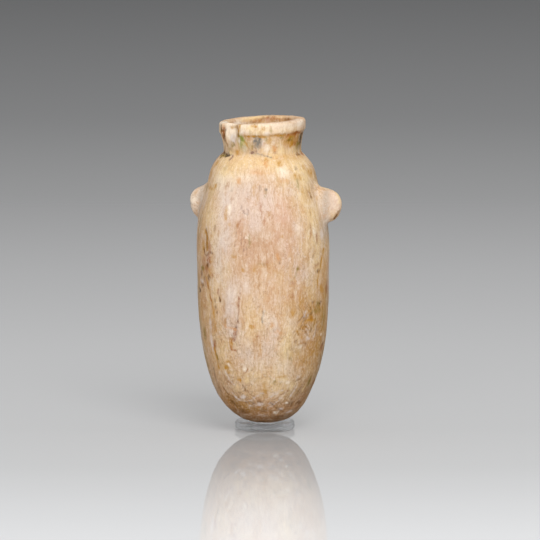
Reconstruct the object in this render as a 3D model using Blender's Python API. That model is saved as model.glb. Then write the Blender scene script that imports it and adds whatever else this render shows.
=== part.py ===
"""Miniature alabaster amphora with two lug handles, standing in a clear ring.

Metres, +Z up. The origin is on the standing surface, under the middle of the ring.
The lugs point along +X and -X. Headings are plan angles from +X, turning towards +Y.
"""

import math

import bmesh
import bpy
from mathutils import Matrix, Vector
from mathutils.geometry import interpolate_bezier

MM = 0.001
DEG = math.pi / 180

# Clear ring under the rounded foot
RING_RADIUS = 8.85 * MM
RING_BORE = 10.6 * MM
RING_HEIGHT = 2.3 * MM
RING_ROUNDING = 0.9 * MM
RING_SEAT_ROUNDING = 0.4 * MM
SEAT_GAP = 0.3 * MM

# Outside of the vessel, stacked from its underside up
FOOT_FLAT_RADIUS = 4.7 * MM
FOOT_TO_BELLY = 48.0 * MM
BELLY_RADIUS = 19.45 * MM
BELLY_TO_SHOULDER = 25.0 * MM
SHOULDER_RADIUS = 15.7 * MM
SHOULDER_TO_NECK = 6.9 * MM
NECK_RADIUS = 11.3 * MM
NECK_TO_RIM = 6.1 * MM
RIM_RADIUS = 12.65 * MM
RIM_OVERHANG = 0.4 * MM
RIM_BAND = 3.2 * MM
RIM_ROUNDING = 0.7 * MM

# Shape of the outside: fullness of the round foot (2 is an ellipse), inward slopes (out per unit of
# height), how far each curve holds its direction, as a share of the height that it covers, and the
# share of the rim's overhang that is rounded below it
BELLY_FULLNESS = 2.6
SHOULDER_SLOPE = 0.205
FLARE_SLOPE = 0.2
BELLY_HOLD = 0.62
SHOULDER_HOLD = 0.46
SHOULDER_ROLL = 0.64
NECK_HOLD_BELOW = 0.06
NECK_HOLD_ABOVE = 0.5
FLARE_HOLD = 0.36
LEDGE_ROUNDING = 0.4
CORNER_HOLD = 0.55

# Hollow, drilled down from the mouth
LIP_WIDTH = 3.0 * MM
LIP_ROUNDING = 0.6 * MM
NECK_WALL = 3.0 * MM
BELLY_WALL = 6.3 * MM
FLOOR_THICKNESS = 9.0 * MM
CAVITY_FULLNESS = 2.6
CAVITY_HOLD_ABOVE = 0.19
CAVITY_HOLD_BELOW = 0.55

# Lug handles: upright discs, each partly sunk in the wall, fuller in their lower half
LUG_BELOW_SHOULDER = 8.1 * MM
LUG_THICKNESS = 3.4 * MM
LUG_FILLET = 1.7 * MM
LUG_ROOT_DEPTH = 2.5 * MM
LUG_DROOP = 1.08
LUG_TIP_FLAT = 0.02 * MM
RIGHT_LUG_RADIUS = 4.9 * MM
RIGHT_LUG_OUT = 6.15 * MM
LEFT_LUG_RADIUS = 4.8 * MM
LEFT_LUG_OUT = 4.35 * MM

# Roundness of a lug's section: 1 is an ellipse, less is boxier; the edge power keeps it thick to its edge
LUG_FACE_ROUNDNESS = 0.7
LUG_OUTLINE_ROUNDNESS = 0.85
LUG_EDGE_POWER = 6

# How the hand-made piece is out of true: the body stands to one side of its foot and leans that way,
# and the foot sits a little to the other side of the ring's middle
LEAN = 0.3 * DEG
LEAN_HEADING = 195 * DEG
SWAY = 0.55 * MM
SWAY_HEIGHT = 10.0 * MM
FOOT_OFF_CENTRE = 0.3 * MM
RIM_TILT = 2.3 * DEG
RIM_HIGH_HEADING = 15 * DEG

# Flake lost from the rim: its scar deepens from start to end and narrows to a tip on the neck
CHIP_START = 218 * DEG
CHIP_NECK_START = 214 * DEG
CHIP_END = 239.5 * DEG
CHIP_DEPTH = 1.3 * MM
CHIP_STEP_HEADING = 307 * DEG
CHIP_TIP = 220 * DEG
CHIP_TIP_DEPTH = 0.15 * MM
CHIP_BELOW_RIM = 7.7 * MM

# Facets, with those of a lug's fillet closer together near its root
TURNS = 64
RING_TURNS = 48
FOOT_STEPS = 11
SHOULDER_STEPS = 9
NECK_STEPS = 8
FLARE_STEPS = 4
CORNER_STEPS = 3
THROAT_STEPS = 3
CAVITY_STEPS = 6
LUG_SIDES = 24
LUG_RINGS = 7
FILLET_RINGS = 4
FILLET_START = -0.1
FILLET_REACH = 0.9
FILLET_GROWTH = 1.5

RIM_ROOT_RADIUS = RIM_RADIUS - RIM_OVERHANG
BELLY_Z = FOOT_TO_BELLY
SHOULDER_Z = BELLY_Z + BELLY_TO_SHOULDER
NECK_Z = SHOULDER_Z + SHOULDER_TO_NECK
RIM_ROOT_Z = NECK_Z + NECK_TO_RIM
RIM_TOP_Z = RIM_ROOT_Z + RIM_BAND
LUG_Z = SHOULDER_Z - LUG_BELOW_SHOULDER
MOUTH_RADIUS = RIM_RADIUS - LIP_WIDTH
THROAT_RADIUS = NECK_RADIUS - NECK_WALL
CAVITY_RADIUS = BELLY_RADIUS - BELLY_WALL


def heading(angle):
    return Vector((math.cos(angle), math.sin(angle), 0))


def smooth_share(value, low, high):
    share = min(max((value - low) / (high - low), 0), 1)
    return share * share * (3 - 2 * share)


def bowl(radius, depth, fullness, low_radius, steps):
    """Points (r, z) of a round bottom, from low_radius out to radius, with z = 0 at low_radius."""
    power = 2 / fullness
    start = math.asin((low_radius / radius) ** (1 / power))
    sink = 1 - math.cos(start) ** power
    height = depth / (1 - sink)
    points = []
    for i in range(steps + 1):
        turn = start + (math.pi / 2 - start) * i / steps
        out = radius * math.sin(turn) ** power
        up = height * (1 - max(math.cos(turn), 0) ** power - sink)
        points.append(Vector((out, up)))
    return points


def curve(start, start_handle, end_handle, end, steps):
    """Points (r, z) of a Bezier curve, both ends included."""
    return interpolate_bezier(start, start_handle, end_handle, end, steps + 1)


def corner(before, at, after, radius):
    """Points (r, z) of a rounded corner, starting towards before and ending towards after."""
    start = at + (before - at).normalized() * radius
    end = at + (after - at).normalized() * radius
    return curve(start, start.lerp(at, CORNER_HOLD), end.lerp(at, CORNER_HOLD), end, CORNER_STEPS)


def foot_points():
    return bowl(BELLY_RADIUS, FOOT_TO_BELLY, BELLY_FULLNESS, FOOT_FLAT_RADIUS, FOOT_STEPS)


def shoulder_points():
    """From the belly up over the sloping shoulder, which carries the lugs."""
    start = Vector((BELLY_RADIUS, BELLY_Z))
    end = Vector((SHOULDER_RADIUS, SHOULDER_Z))
    upright = Vector((0, BELLY_HOLD * BELLY_TO_SHOULDER))
    slope = Vector((SHOULDER_SLOPE, -1)) * SHOULDER_HOLD * BELLY_TO_SHOULDER
    return curve(start, start + upright, end + slope, end, SHOULDER_STEPS)


def neck_points():
    """From the shoulder in to the narrowest place of the neck."""
    start = Vector((SHOULDER_RADIUS, SHOULDER_Z))
    end = Vector((NECK_RADIUS, NECK_Z))
    roll = Vector((-SHOULDER_SLOPE, 1)) * SHOULDER_ROLL * SHOULDER_TO_NECK
    upright = Vector((0, -NECK_HOLD_BELOW * SHOULDER_TO_NECK))
    return curve(start, start + roll, end + upright, end, NECK_STEPS)


def flare_points():
    """From the neck out to the underside of the rim band."""
    start = Vector((NECK_RADIUS, NECK_Z))
    end = Vector((RIM_ROOT_RADIUS, RIM_ROOT_Z))
    upright = Vector((0, NECK_HOLD_ABOVE * NECK_TO_RIM))
    slope = Vector((-FLARE_SLOPE, -1)) * FLARE_HOLD * NECK_TO_RIM
    return curve(start, start + upright, end + slope, end, FLARE_STEPS)


def rim_points():
    """The rim band's outer face and flat lip, as far as the edge of the mouth."""
    root = Vector((RIM_ROOT_RADIUS, RIM_ROOT_Z))
    under = Vector((RIM_RADIUS, RIM_ROOT_Z))
    outer = Vector((RIM_RADIUS, RIM_TOP_Z))
    inner = Vector((MOUTH_RADIUS, RIM_TOP_Z))
    below = Vector((THROAT_RADIUS, NECK_Z))
    points = corner(root, under, outer, LEDGE_ROUNDING * RIM_OVERHANG)
    points += corner(under, outer, inner, RIM_ROUNDING)
    points += corner(outer, inner, below, LIP_ROUNDING)
    return points


def cavity_points():
    """From the throat down inside the wall to the middle of the hollow's floor."""
    throat = Vector((THROAT_RADIUS, NECK_Z))
    throat_end = Vector((THROAT_RADIUS, SHOULDER_Z))
    widest = Vector((CAVITY_RADIUS, BELLY_Z))
    drop = Vector((0, -CAVITY_HOLD_ABOVE * BELLY_TO_SHOULDER))
    rise = Vector((0, CAVITY_HOLD_BELOW * BELLY_TO_SHOULDER))
    points = [throat.lerp(throat_end, i / THROAT_STEPS) for i in range(THROAT_STEPS)]
    points += curve(throat_end, throat_end + drop, widest + rise, widest, CAVITY_STEPS)
    bottom = bowl(CAVITY_RADIUS, FOOT_TO_BELLY - FLOOR_THICKNESS, CAVITY_FULLNESS, 0, CAVITY_STEPS)
    points += [Vector((p.x, p.y + FLOOR_THICKNESS)) for p in reversed(bottom)][1:]
    return points


def vessel_outline():
    """The whole turned outline, from the middle of the underside, outside and inside."""
    points = [Vector((0, 0))]
    points += foot_points()
    points += shoulder_points()[1:]
    points += neck_points()[1:]
    points += flare_points()[1:]
    points += rim_points()
    points += cavity_points()
    return points


def crossing(points, key, value, result):
    """Coordinate result (0 is r, 1 is z) where a line of points first passes a value of coordinate key."""
    for low, high in zip(points, points[1:]):
        if min(low[key], high[key]) <= value <= max(low[key], high[key]):
            share = (value - low[key]) / (high[key] - low[key])
            return low.lerp(high, share)[result]
    return points[0][result] if value < points[0][key] else points[-1][result]


def body_radius(height):
    """Radius of the outside at a height below the neck."""
    return crossing(foot_points() + shoulder_points()[1:] + neck_points()[1:], 1, height, 0)


def foot_height(radius):
    """Height of the rounded underside at this distance from the axis."""
    return crossing(foot_points(), 0, radius, 1)


def new_object(name, bm):
    mesh = bpy.data.meshes.new(name)
    bm.to_mesh(mesh)
    bm.free()
    obj = bpy.data.objects.new(name, mesh)
    bpy.context.scene.collection.objects.link(obj)
    return obj


def turned(outline, turns):
    """A bmesh made by spinning (r, z) points about the Z axis."""
    bm = bmesh.new()
    verts = [bm.verts.new((p.x, 0, p.y)) for p in outline]
    edges = [bm.edges.new(pair) for pair in zip(verts, verts[1:])]
    bmesh.ops.spin(
        bm, geom=verts + edges, cent=(0, 0, 0), axis=(0, 0, 1), angle=2 * math.pi, steps=turns, use_merge=True
    )
    bmesh.ops.remove_doubles(bm, verts=bm.verts, dist=0.001 * MM)
    bmesh.ops.recalc_face_normals(bm, faces=bm.faces)
    return bm


def sway(bm):
    """Everything above the foot stands to one side of it."""
    for vert in bm.verts:
        vert.co += heading(LEAN_HEADING) * SWAY * smooth_share(vert.co.z, 0, SWAY_HEIGHT)


def tilt_rim(bm):
    """The rim was cut slightly out of level: everything above the neck rises towards one side."""
    high_side = heading(RIM_HIGH_HEADING)
    for vert in bm.verts:
        share = smooth_share(vert.co.z, NECK_Z, RIM_ROOT_Z)
        vert.co.z += share * math.tan(RIM_TILT) * vert.co.dot(high_side)


def rounded(value, roundness):
    return math.copysign(abs(value) ** roundness, value)


def lug_section(x, tip, radius, surface, slope):
    """One ring of a lug at distance x from the axis, leaning with the shoulder near its root."""
    out = max((x - (tip - radius)) / radius, 0)
    near = min(max(1 - (x - surface) / LUG_FILLET, 0), 1)
    fillet = LUG_FILLET * (1 - math.sqrt(1 - near**2))
    half_height = radius * math.sqrt(max(1 - out**2, 0)) + fillet
    half_width = 0.5 * LUG_THICKNESS * math.sqrt(max(1 - out**LUG_EDGE_POWER, 0)) + fillet
    follow = min(max((tip - x) / (tip - surface), 0), 1)
    ring = []
    for i in range(LUG_SIDES):
        turn = 2 * math.pi * i / LUG_SIDES
        across = rounded(math.cos(turn), LUG_FACE_ROUNDNESS) * half_width
        up = rounded(math.sin(turn), LUG_OUTLINE_ROUNDNESS) * half_height
        if up < 0:
            up *= LUG_DROOP
        hug = follow * (slope * up + across**2 / (2 * surface))
        ring.append(Vector((x - hug, across, LUG_Z + up)))
    return ring


def lug_stations(surface, tip):
    """Distances from the axis at which a lug is cut into sections: closer at the fillet and the tip."""
    stations = [surface - LUG_ROOT_DEPTH]
    for i in range(FILLET_RINGS):
        share = FILLET_START + FILLET_REACH * (i / FILLET_RINGS) ** FILLET_GROWTH
        stations.append(surface + share * LUG_FILLET)
    last = stations[-1]
    reach = tip - LUG_TIP_FLAT - last
    for i in range(1, LUG_RINGS + 1):
        stations.append(last + reach * math.sin(0.5 * math.pi * i / LUG_RINGS))
    return stations


def lug(name, stand_out, radius, turn):
    """A closed lug standing out of the shoulder, pointing along +X before it is turned."""
    surface = body_radius(LUG_Z)
    tip = surface + stand_out
    slope = (body_radius(LUG_Z - radius) - body_radius(LUG_Z + radius)) / (2 * radius)
    bm = bmesh.new()
    rings = []
    for x in lug_stations(surface, tip):
        rings.append([bm.verts.new(p) for p in lug_section(x, tip, radius, surface, slope)])
    for near, far in zip(rings, rings[1:]):
        for i in range(LUG_SIDES):
            j = (i + 1) % LUG_SIDES
            bm.faces.new((near[i], near[j], far[j], far[i]))
    bm.faces.new(rings[0])
    bm.faces.new(rings[-1])
    bmesh.ops.rotate(bm, verts=bm.verts, cent=(0, 0, 0), matrix=Matrix.Rotation(turn, 3, "Z"))
    bmesh.ops.recalc_face_normals(bm, faces=bm.faces)
    sway(bm)
    return new_object(name, bm)


def chip_cutter():
    """The lost flake, carried on well past the surface: two levels of four corners, then a tip edge."""
    beyond = RIM_RADIUS
    step = heading(CHIP_STEP_HEADING) * beyond
    deep = heading(CHIP_END) * (RIM_RADIUS - CHIP_DEPTH)
    shallow_rim = heading(CHIP_START) * RIM_RADIUS
    shallow_neck = heading(CHIP_NECK_START) * RIM_ROOT_RADIUS
    tip = heading(CHIP_TIP) * (NECK_RADIUS - CHIP_TIP_DEPTH) + Vector((0, 0, RIM_TOP_Z - CHIP_BELOW_RIM))
    bm = bmesh.new()
    levels = []
    for shallow, z in ((shallow_rim, RIM_TOP_Z + RIM_BAND), (shallow_neck, RIM_ROOT_Z)):
        away = shallow.normalized() * beyond
        corners = (shallow, deep, deep + step, shallow + away)
        levels.append([bm.verts.new(p + Vector((0, 0, z))) for p in corners])
    low = bm.verts.new(tip)
    low_out = bm.verts.new(tip + heading(CHIP_TIP) * beyond)
    top, root = levels
    bm.faces.new(top)
    for i in range(4):
        j = (i + 1) % 4
        bm.faces.new((top[i], top[j], root[j], root[i]))
    bm.faces.new((root[0], root[1], low))
    bm.faces.new((root[1], root[2], low_out, low))
    bm.faces.new((root[2], root[3], low_out))
    bm.faces.new((root[3], root[0], low, low_out))
    bmesh.ops.triangulate(bm, faces=bm.faces)
    bmesh.ops.recalc_face_normals(bm, faces=bm.faces)
    sway(bm)
    return new_object("chip_cutter", bm)


def hide_tool(obj, parent):
    obj.hide_render = True
    obj.display_type = "WIRE"
    obj.parent = parent


def boolean(obj, tool, operation):
    modifier = obj.modifiers.new(tool.name, "BOOLEAN")
    modifier.operation = operation
    modifier.object = tool


def material(name, colour, roughness, transmission=0.0, ior=1.5):
    mat = bpy.data.materials.new(name)
    mat.use_nodes = True
    shader = mat.node_tree.nodes["Principled BSDF"]
    shader.inputs["Base Color"].default_value = (*colour, 1)
    shader.inputs["Roughness"].default_value = roughness
    shader.inputs["Metallic"].default_value = 0
    shader.inputs["Transmission Weight"].default_value = transmission
    shader.inputs["IOR"].default_value = ior
    return mat


def finish(obj, mat, sharp_angle):
    obj.data.materials.append(mat)
    obj.data.shade_smooth()
    obj.data.set_sharp_from_angle(angle=sharp_angle)


def make_amphora():
    bm = turned(vessel_outline(), TURNS)
    tilt_rim(bm)
    sway(bm)
    vessel = new_object("alabaster_amphora", bm)
    seat = Vector((0, 0, RING_HEIGHT + SEAT_GAP - foot_height(0.5 * RING_BORE)))
    aside = heading(LEAN_HEADING) * -FOOT_OFF_CENTRE
    lean_axis = heading(LEAN_HEADING + math.pi / 2)
    vessel.matrix_world = Matrix.Translation(seat + aside) @ Matrix.Rotation(LEAN, 4, lean_axis)
    tools = (
        (lug("right_lug", RIGHT_LUG_OUT, RIGHT_LUG_RADIUS, 0), "UNION"),
        (lug("left_lug", LEFT_LUG_OUT, LEFT_LUG_RADIUS, math.pi), "UNION"),
        (chip_cutter(), "DIFFERENCE"),
    )
    for tool, operation in tools:
        hide_tool(tool, vessel)
        boolean(vessel, tool, operation)
    finish(vessel, material("alabaster", (0.68, 0.50, 0.32), 0.5), 40 * DEG)


def ring_outline():
    """Flat underside, rounded shoulder outside and a small rounding where the foot is seated."""
    low_inner = Vector((0.5 * RING_BORE, 0))
    low_outer = Vector((RING_RADIUS, 0))
    outer = Vector((RING_RADIUS, RING_HEIGHT))
    inner = Vector((0.5 * RING_BORE, RING_HEIGHT))
    rounding = min(RING_ROUNDING, 0.6 * RING_HEIGHT)
    seat_rounding = min(RING_SEAT_ROUNDING, 0.3 * RING_HEIGHT)
    points = [low_inner, low_outer]
    points += corner(low_outer, outer, inner, rounding)
    points += corner(outer, inner, low_inner, seat_rounding)
    points += [low_inner]
    return points


def make_ring():
    ring = new_object("clear_ring_stand", turned(ring_outline(), RING_TURNS))
    finish(ring, material("clear_acrylic", (0.93, 0.95, 0.96), 0.04, transmission=1.0, ior=1.49), 40 * DEG)


def main():
    for obj in list(bpy.data.objects):
        bpy.data.objects.remove(obj)
    make_amphora()
    make_ring()


main()
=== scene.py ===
import math

import bpy
import numpy as np
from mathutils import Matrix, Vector, noise


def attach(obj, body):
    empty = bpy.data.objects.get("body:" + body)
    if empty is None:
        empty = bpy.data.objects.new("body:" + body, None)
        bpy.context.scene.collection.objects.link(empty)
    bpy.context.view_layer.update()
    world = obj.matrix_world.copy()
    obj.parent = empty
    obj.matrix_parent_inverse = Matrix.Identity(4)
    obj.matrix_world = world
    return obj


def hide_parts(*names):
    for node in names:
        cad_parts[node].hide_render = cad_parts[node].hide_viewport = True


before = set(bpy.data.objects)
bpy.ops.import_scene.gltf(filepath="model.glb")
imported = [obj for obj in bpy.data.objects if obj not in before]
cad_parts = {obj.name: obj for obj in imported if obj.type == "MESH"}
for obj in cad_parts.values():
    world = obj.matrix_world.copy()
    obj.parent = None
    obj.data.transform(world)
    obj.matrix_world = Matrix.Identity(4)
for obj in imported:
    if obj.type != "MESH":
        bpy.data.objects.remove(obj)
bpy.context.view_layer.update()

mm = 0.001
frontAzimuth = math.radians(15)        # the photograph looks from here, a little off the lugs' own front
acrossFront = Vector((math.cos(frontAzimuth), math.sin(frontAzimuth), 0))
towardFront = Vector((math.sin(frontAzimuth), -math.cos(frontAzimuth), 0))


def sine(degrees):
    return math.sin(math.radians(degrees))


def pick(obj):
    for other in bpy.context.selected_objects:
        other.select_set(False)
    obj.select_set(True)
    bpy.context.view_layer.objects.active = obj


def applyModifier(obj, kind, **settings):
    # adds one modifier, sets it up and applies it
    pick(obj)
    modifier = obj.modifiers.new(kind.title(), kind)
    for name, value in settings.items():
        setattr(modifier, name, value)
    bpy.ops.object.modifier_apply(modifier=modifier.name)


def linearColor(code):
    # sRGB hex to the linear values that shader sockets take
    values = [int(code[i:i + 2], 16) / 255 for i in (0, 2, 4)]
    return tuple(v / 12.92 if v <= 0.04045 else ((v + 0.055) / 1.055) ** 2.4 for v in values) + (1.0,)


def addNode(tree, kind, sockets=None, **settings):
    # sockets: input name or number, and its value or the output that feeds it
    made = tree.nodes.new(kind)
    for name, value in settings.items():
        setattr(made, name, value)
    for key, value in (sockets or {}).items():
        if isinstance(value, bpy.types.NodeSocket):
            tree.links.new(value, made.inputs[key])
        else:
            made.inputs[key].default_value = value
    return made


def newMaterial(name):
    mat = bpy.data.materials.new(name)
    mat.use_nodes = True
    tree = mat.node_tree
    tree.nodes.clear()
    return mat, tree


def toneAlong(tree, value, steps):
    # colours that follow a value: each step is the value where a colour lies, and that colour
    low, high = steps[0][0], steps[-1][0]
    share = addNode(tree, "ShaderNodeMapRange", {"Value": value, "From Min": low, "From Max": high})
    ramp = addNode(tree, "ShaderNodeValToRGB", {"Fac": share.outputs["Result"]})
    while len(ramp.color_ramp.elements) < len(steps):
        ramp.color_ramp.elements.new(0.5)
    for element, (place, color) in zip(ramp.color_ramp.elements, steps):
        element.position = (place - low) / (high - low)
        element.color = color
    return ramp.outputs["Color"]


# Photograph's viewpoint: the camera looks slightly down from a long way off
viewpoint = {
    "distance": 1290 * mm,
    "height": 227.6 * mm,
    "aimHeight": 47.1 * mm,
    "aside": 1.53 * mm,        # the vessel stands a little left of the middle of the picture
    "pictureWidth": 158.8 * mm,        # width that the picture takes in at the vessel
    "farthest": 20,        # metres, well past the edge of the floor
}


def makeCamera():
    aside = acrossFront * viewpoint["aside"]
    place = towardFront * viewpoint["distance"] + Vector((0, 0, viewpoint["height"])) + aside
    aim = Vector((0, 0, viewpoint["aimHeight"])) + aside
    bpy.ops.object.camera_add(location=place)
    camera = bpy.context.object
    camera.name = "photo_camera"
    camera.rotation_euler = (aim - place).to_track_quat("-Z", "Y").to_euler()
    camera.data.lens = camera.data.sensor_width * (aim - place).length / viewpoint["pictureWidth"]
    camera.data.clip_end = viewpoint["farthest"]
    bpy.context.scene.camera = camera


# Studio: a large soft light in front and above, a weaker one low at the left, and a dome dim near the ground
studio = {
    "keyPlace": (0.29, 0.95, 1.15),        # across, toward the camera, up, in metres
    "keySize": 0.95,
    "keyPower": 15.6,
    "fillPlace": (-0.55, 1.05, 0.06),
    "fillSize": 0.6,
    "fillPower": 6.3,
    "lightsAimAt": 45 * mm,        # height on the vessel
    "domeColor": "DEE0E3",
    "domeStrength": 0.79,
    "horizonStrength": 0.10,
    "domeStarts": 3,        # degrees above the ground where the dome begins to brighten
    "domeFull": 14,
    "sheetSides": (26, 13),        # degrees to either side where the bright sheet ends, and where it is full
    "sheetTop": (14, 12),        # degrees above the ground where it ends, and where it is full
    "floorRadius": 6,
    "floorCorners": 96,
    "floorDrop": 0.05 * mm,        # just under the ring, so the two never fight for the same pixels
    "boardRoughness": 0.025,
    "boardIor": 1.45,
}

# Bright sheet hung low behind the vessel, which only the board mirrors: degrees above the ground, brightness
sheetGlow = [(3, 0.05), (4.5, 0.10), (6, 0.20), (7, 0.35), (8, 0.50), (9, 0.70), (10, 0.78), (10.5, 0.65),
             (11, 0.36), (11.5, 0.22), (14, 0.2)]

# Painted light on the board: greys from a pale front to a darker back that stand in for the light falling off
# behind the vessel; metres behind the vessel, tone
boardPaintedLight = [(-0.3, "F2F2F2"), (-0.161, "EFEFEF"), (-0.119, "E1E1E1"), (-0.062, "BFBFBF"), (0, "ABABAB"),
              (0.147, "A6A6A6"), (0.329, "A7A7A7"), (0.564, "9A9A9A"), (0.875, "9C9C9C"), (1.7, "9F9F9F")]


def addSoftbox(name, place, size, power):
    across, toward, up = place
    spot = acrossFront * across + towardFront * toward + Vector((0, 0, up))
    aim = Vector((0, 0, studio["lightsAimAt"]))
    bpy.ops.object.light_add(type="AREA", location=spot)
    light = bpy.context.object
    light.name = name
    light.rotation_euler = (aim - spot).to_track_quat("-Z", "Y").to_euler()
    light.data.shape = "DISK"
    light.data.size = size
    light.data.energy = power
    light.visible_camera = False        # it only lights, and no view shows its disk


def makeDome():
    # soft grey surroundings, with the bright sheet let in behind the vessel
    world = bpy.data.worlds.new("studio_dome")
    world.use_nodes = True
    tree = world.node_tree
    tree.nodes.clear()
    way = addNode(tree, "ShaderNodeTexCoord").outputs["Generated"]
    up = addNode(tree, "ShaderNodeSeparateXYZ", {0: way}).outputs["Z"]
    rise = addNode(tree, "ShaderNodeMapRange", {
        "Value": up, "From Min": sine(studio["domeStarts"]), "From Max": sine(studio["domeFull"]),
        "To Min": studio["horizonStrength"], "To Max": studio["domeStrength"]},
        interpolation_type="SMOOTHSTEP").outputs["Result"]
    dome = addNode(tree, "ShaderNodeVectorMath", {
        0: linearColor(studio["domeColor"])[:3], "Scale": rise}, operation="SCALE").outputs[0]
    glow = toneAlong(tree, up, [
        (sine(degrees), (bright, bright, bright, 1)) for degrees, bright in sheetGlow])

    behind = addNode(tree, "ShaderNodeVectorMath", {
        0: way, 1: tuple(-towardFront)}, operation="DOT_PRODUCT").outputs["Value"]
    sideEnd, sideFull = (math.cos(math.radians(degrees)) for degrees in studio["sheetSides"])
    beside = addNode(tree, "ShaderNodeMapRange", {
        "Value": behind, "From Min": sideEnd, "From Max": sideFull},
        interpolation_type="SMOOTHSTEP").outputs["Result"]
    topEnd, topFull = (sine(degrees) for degrees in studio["sheetTop"])
    below = addNode(tree, "ShaderNodeMapRange", {
        "Value": up, "From Min": topEnd, "From Max": topFull}).outputs["Result"]
    sheet = addNode(tree, "ShaderNodeMath", {0: beside, 1: below}, operation="MULTIPLY").outputs[0]
    color = addNode(tree, "ShaderNodeMix", {0: sheet, 6: dome, 7: glow}, data_type="RGBA").outputs[2]
    background = addNode(tree, "ShaderNodeBackground", {"Color": color, "Strength": 1})
    addNode(tree, "ShaderNodeOutputWorld", {"Surface": background.outputs["Background"]})
    bpy.context.scene.world = world


def makeFloor():
    # glossy board that mirrors the vessel softly, and greys from a pale front edge to the back: painted light
    # falloff
    bpy.ops.mesh.primitive_circle_add(
        vertices=studio["floorCorners"], radius=studio["floorRadius"], fill_type="NGON")
    floor = bpy.context.object
    floor.name = "studio_floor"
    floor.location.z = -studio["floorDrop"]
    mat, tree = newMaterial("glossy_grey_board")
    coords = addNode(tree, "ShaderNodeTexCoord").outputs["Object"]
    away = addNode(tree, "ShaderNodeVectorMath", {
        0: coords, 1: tuple(-towardFront)}, operation="DOT_PRODUCT").outputs["Value"]
    shader = addNode(tree, "ShaderNodeBsdfPrincipled", {
        "Base Color": toneAlong(tree, away, [(place, linearColor(tone)) for place, tone in boardPaintedLight]),
        "Roughness": studio["boardRoughness"], "IOR": studio["boardIor"]})
    addNode(tree, "ShaderNodeOutputMaterial", {"Surface": shader.outputs["BSDF"]})
    floor.data.materials.append(mat)


print("camera and studio")
makeCamera()
addSoftbox("key_softbox", studio["keyPlace"], studio["keySize"], studio["keyPower"])
addSoftbox("low_fill", studio["fillPlace"], studio["fillSize"], studio["fillPower"])
makeDome()
makeFloor()
bpy.context.scene.view_settings.view_transform = "Standard"


# Carved vessel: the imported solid's form, given the unevenness and wear of hand-cut stone
vessel = {
    "merge": 0.005 * mm,        # corners nearer than this are one
    "voxel": 0.405 * mm,        # mesh grain of the carved surface
    "relax": 2,
    "waviness": 0.5 * mm,        # slow swelling and hollowing of the hand-cut wall
    "wavinessSize": 11 * mm,
    "wavinessLength": 1.6,        # times its size
    "toolMarks": 0.12 * mm,        # long shallow furrows left by rubbing up and down
    "toolMarkWidth": 1.7 * mm,
    "toolMarkLength": 8,        # times its width
    "grain": 0.05 * mm,
    "grainSize": 0.9 * mm,
    "grainLength": 1.4,        # times its size
    "deepest": 0.5 * mm,        # depth of the deepest pit
    "drift": 0.45 * mm,        # how far a mark's outline wanders
    "driftSize": 1.3 * mm,
    "driftSeed": 3,
    "fineDrift": 0.5,        # share of a second, finer wander
    "fineDriftRate": 2.7,        # and how many times finer it is
    "unmarked": "D2B08A",        # colour under the first mark that is laid
}

# Flake lost from the rim: outline of the missing wedge seen from above, across and toward the front (mm)
scar = {
    "outline": [(-14.3, 4.0), (-11.8, 4.3), (-8.5, 8.5), (-7.3, 11.2), (-10, 14), (-15, 9)],
    "from": 83 * mm,
    "to": 94 * mm,
    "turn": -52,        # middle of the fresh fracture, and its half width (degrees)
    "halfTurn": 23,
    "starts": 81,        # height where it begins, and how far it takes to be full (mm)
    "fade": 3,
    "bare": 0.9,        # share of the furrows that is missing there
}

# Lugs: turn from the front (degrees), height and distances from the vessel's axis (mm)
lugs = {
    "turns": (-105, 75),
    "height": 66.5,
    "root": 19.0,        # hollows where they grow out of the wall
    "rootHalf": (1.3, 4.5, 9),        # half sizes of these: outward, sideways, up
    "rootRelax": 30,        # extra rounding there
    "rootShade": 0.95,        # painted grey shade in these hollows
    "starts": 19.6,        # what lies farther out belongs to the lugs
    "full": 21,
    "unpitted": 21.5,        # no mark is eaten in past this
    "fade": 1.5,
    "bare": 0.8,        # share of the furrows, and of the streaks, that is missing on them
}

# Hollow, by which its wall is told from the outside: heights and distances from the axis (mm)
hollow = {
    "wallStarts": 12,
    "wallFacing": -0.2,        # how far the wall leans to the axis, 0 upright to it and -1 straight at it
    "floorRadius": 10,
    "floorHeights": (8, 30),
    "darkBelow": 80,        # little is seen deeper down
    "darkShare": 0.14,        # share of the triangles kept there
}

# Albedo of each kind of mark laid on the stone, whether stain or painted shade and highlight, and how deep it
# is eaten in, as a share of the deepest
stainAndShadeColors = {
    "white": ("FFEAD0", 0),        # fresh fracture
    "ivory": ("F4E6D3", 0),        # rubbed spots, and painted highlights
    "veil": ("DFD1C9", 0),        # thin lilac-white crust
    "pink": ("CDA68E", 0),
    "cream": ("E8CB98", 0),
    "tan": ("B2875A", 0.08),
    "ochre": ("B9842E", 0.12),
    "orange": ("CD935A", 0),
    "russet": ("A05E1C", 0.1),
    "rust": ("9A5F35", 0.1),
    "umber": ("6E4820", 0.18),
    "olive": ("846C22", 0.06),
    "green": ("8A9144", 0),
    "ash": ("B9A897", 0),
    "slate": ("736F68", 0.08),
    "plum": ("7A584E", 0.2),
    "moss": ("463408", 0.1),
    "soot": ("24180E", 1),
}

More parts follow.
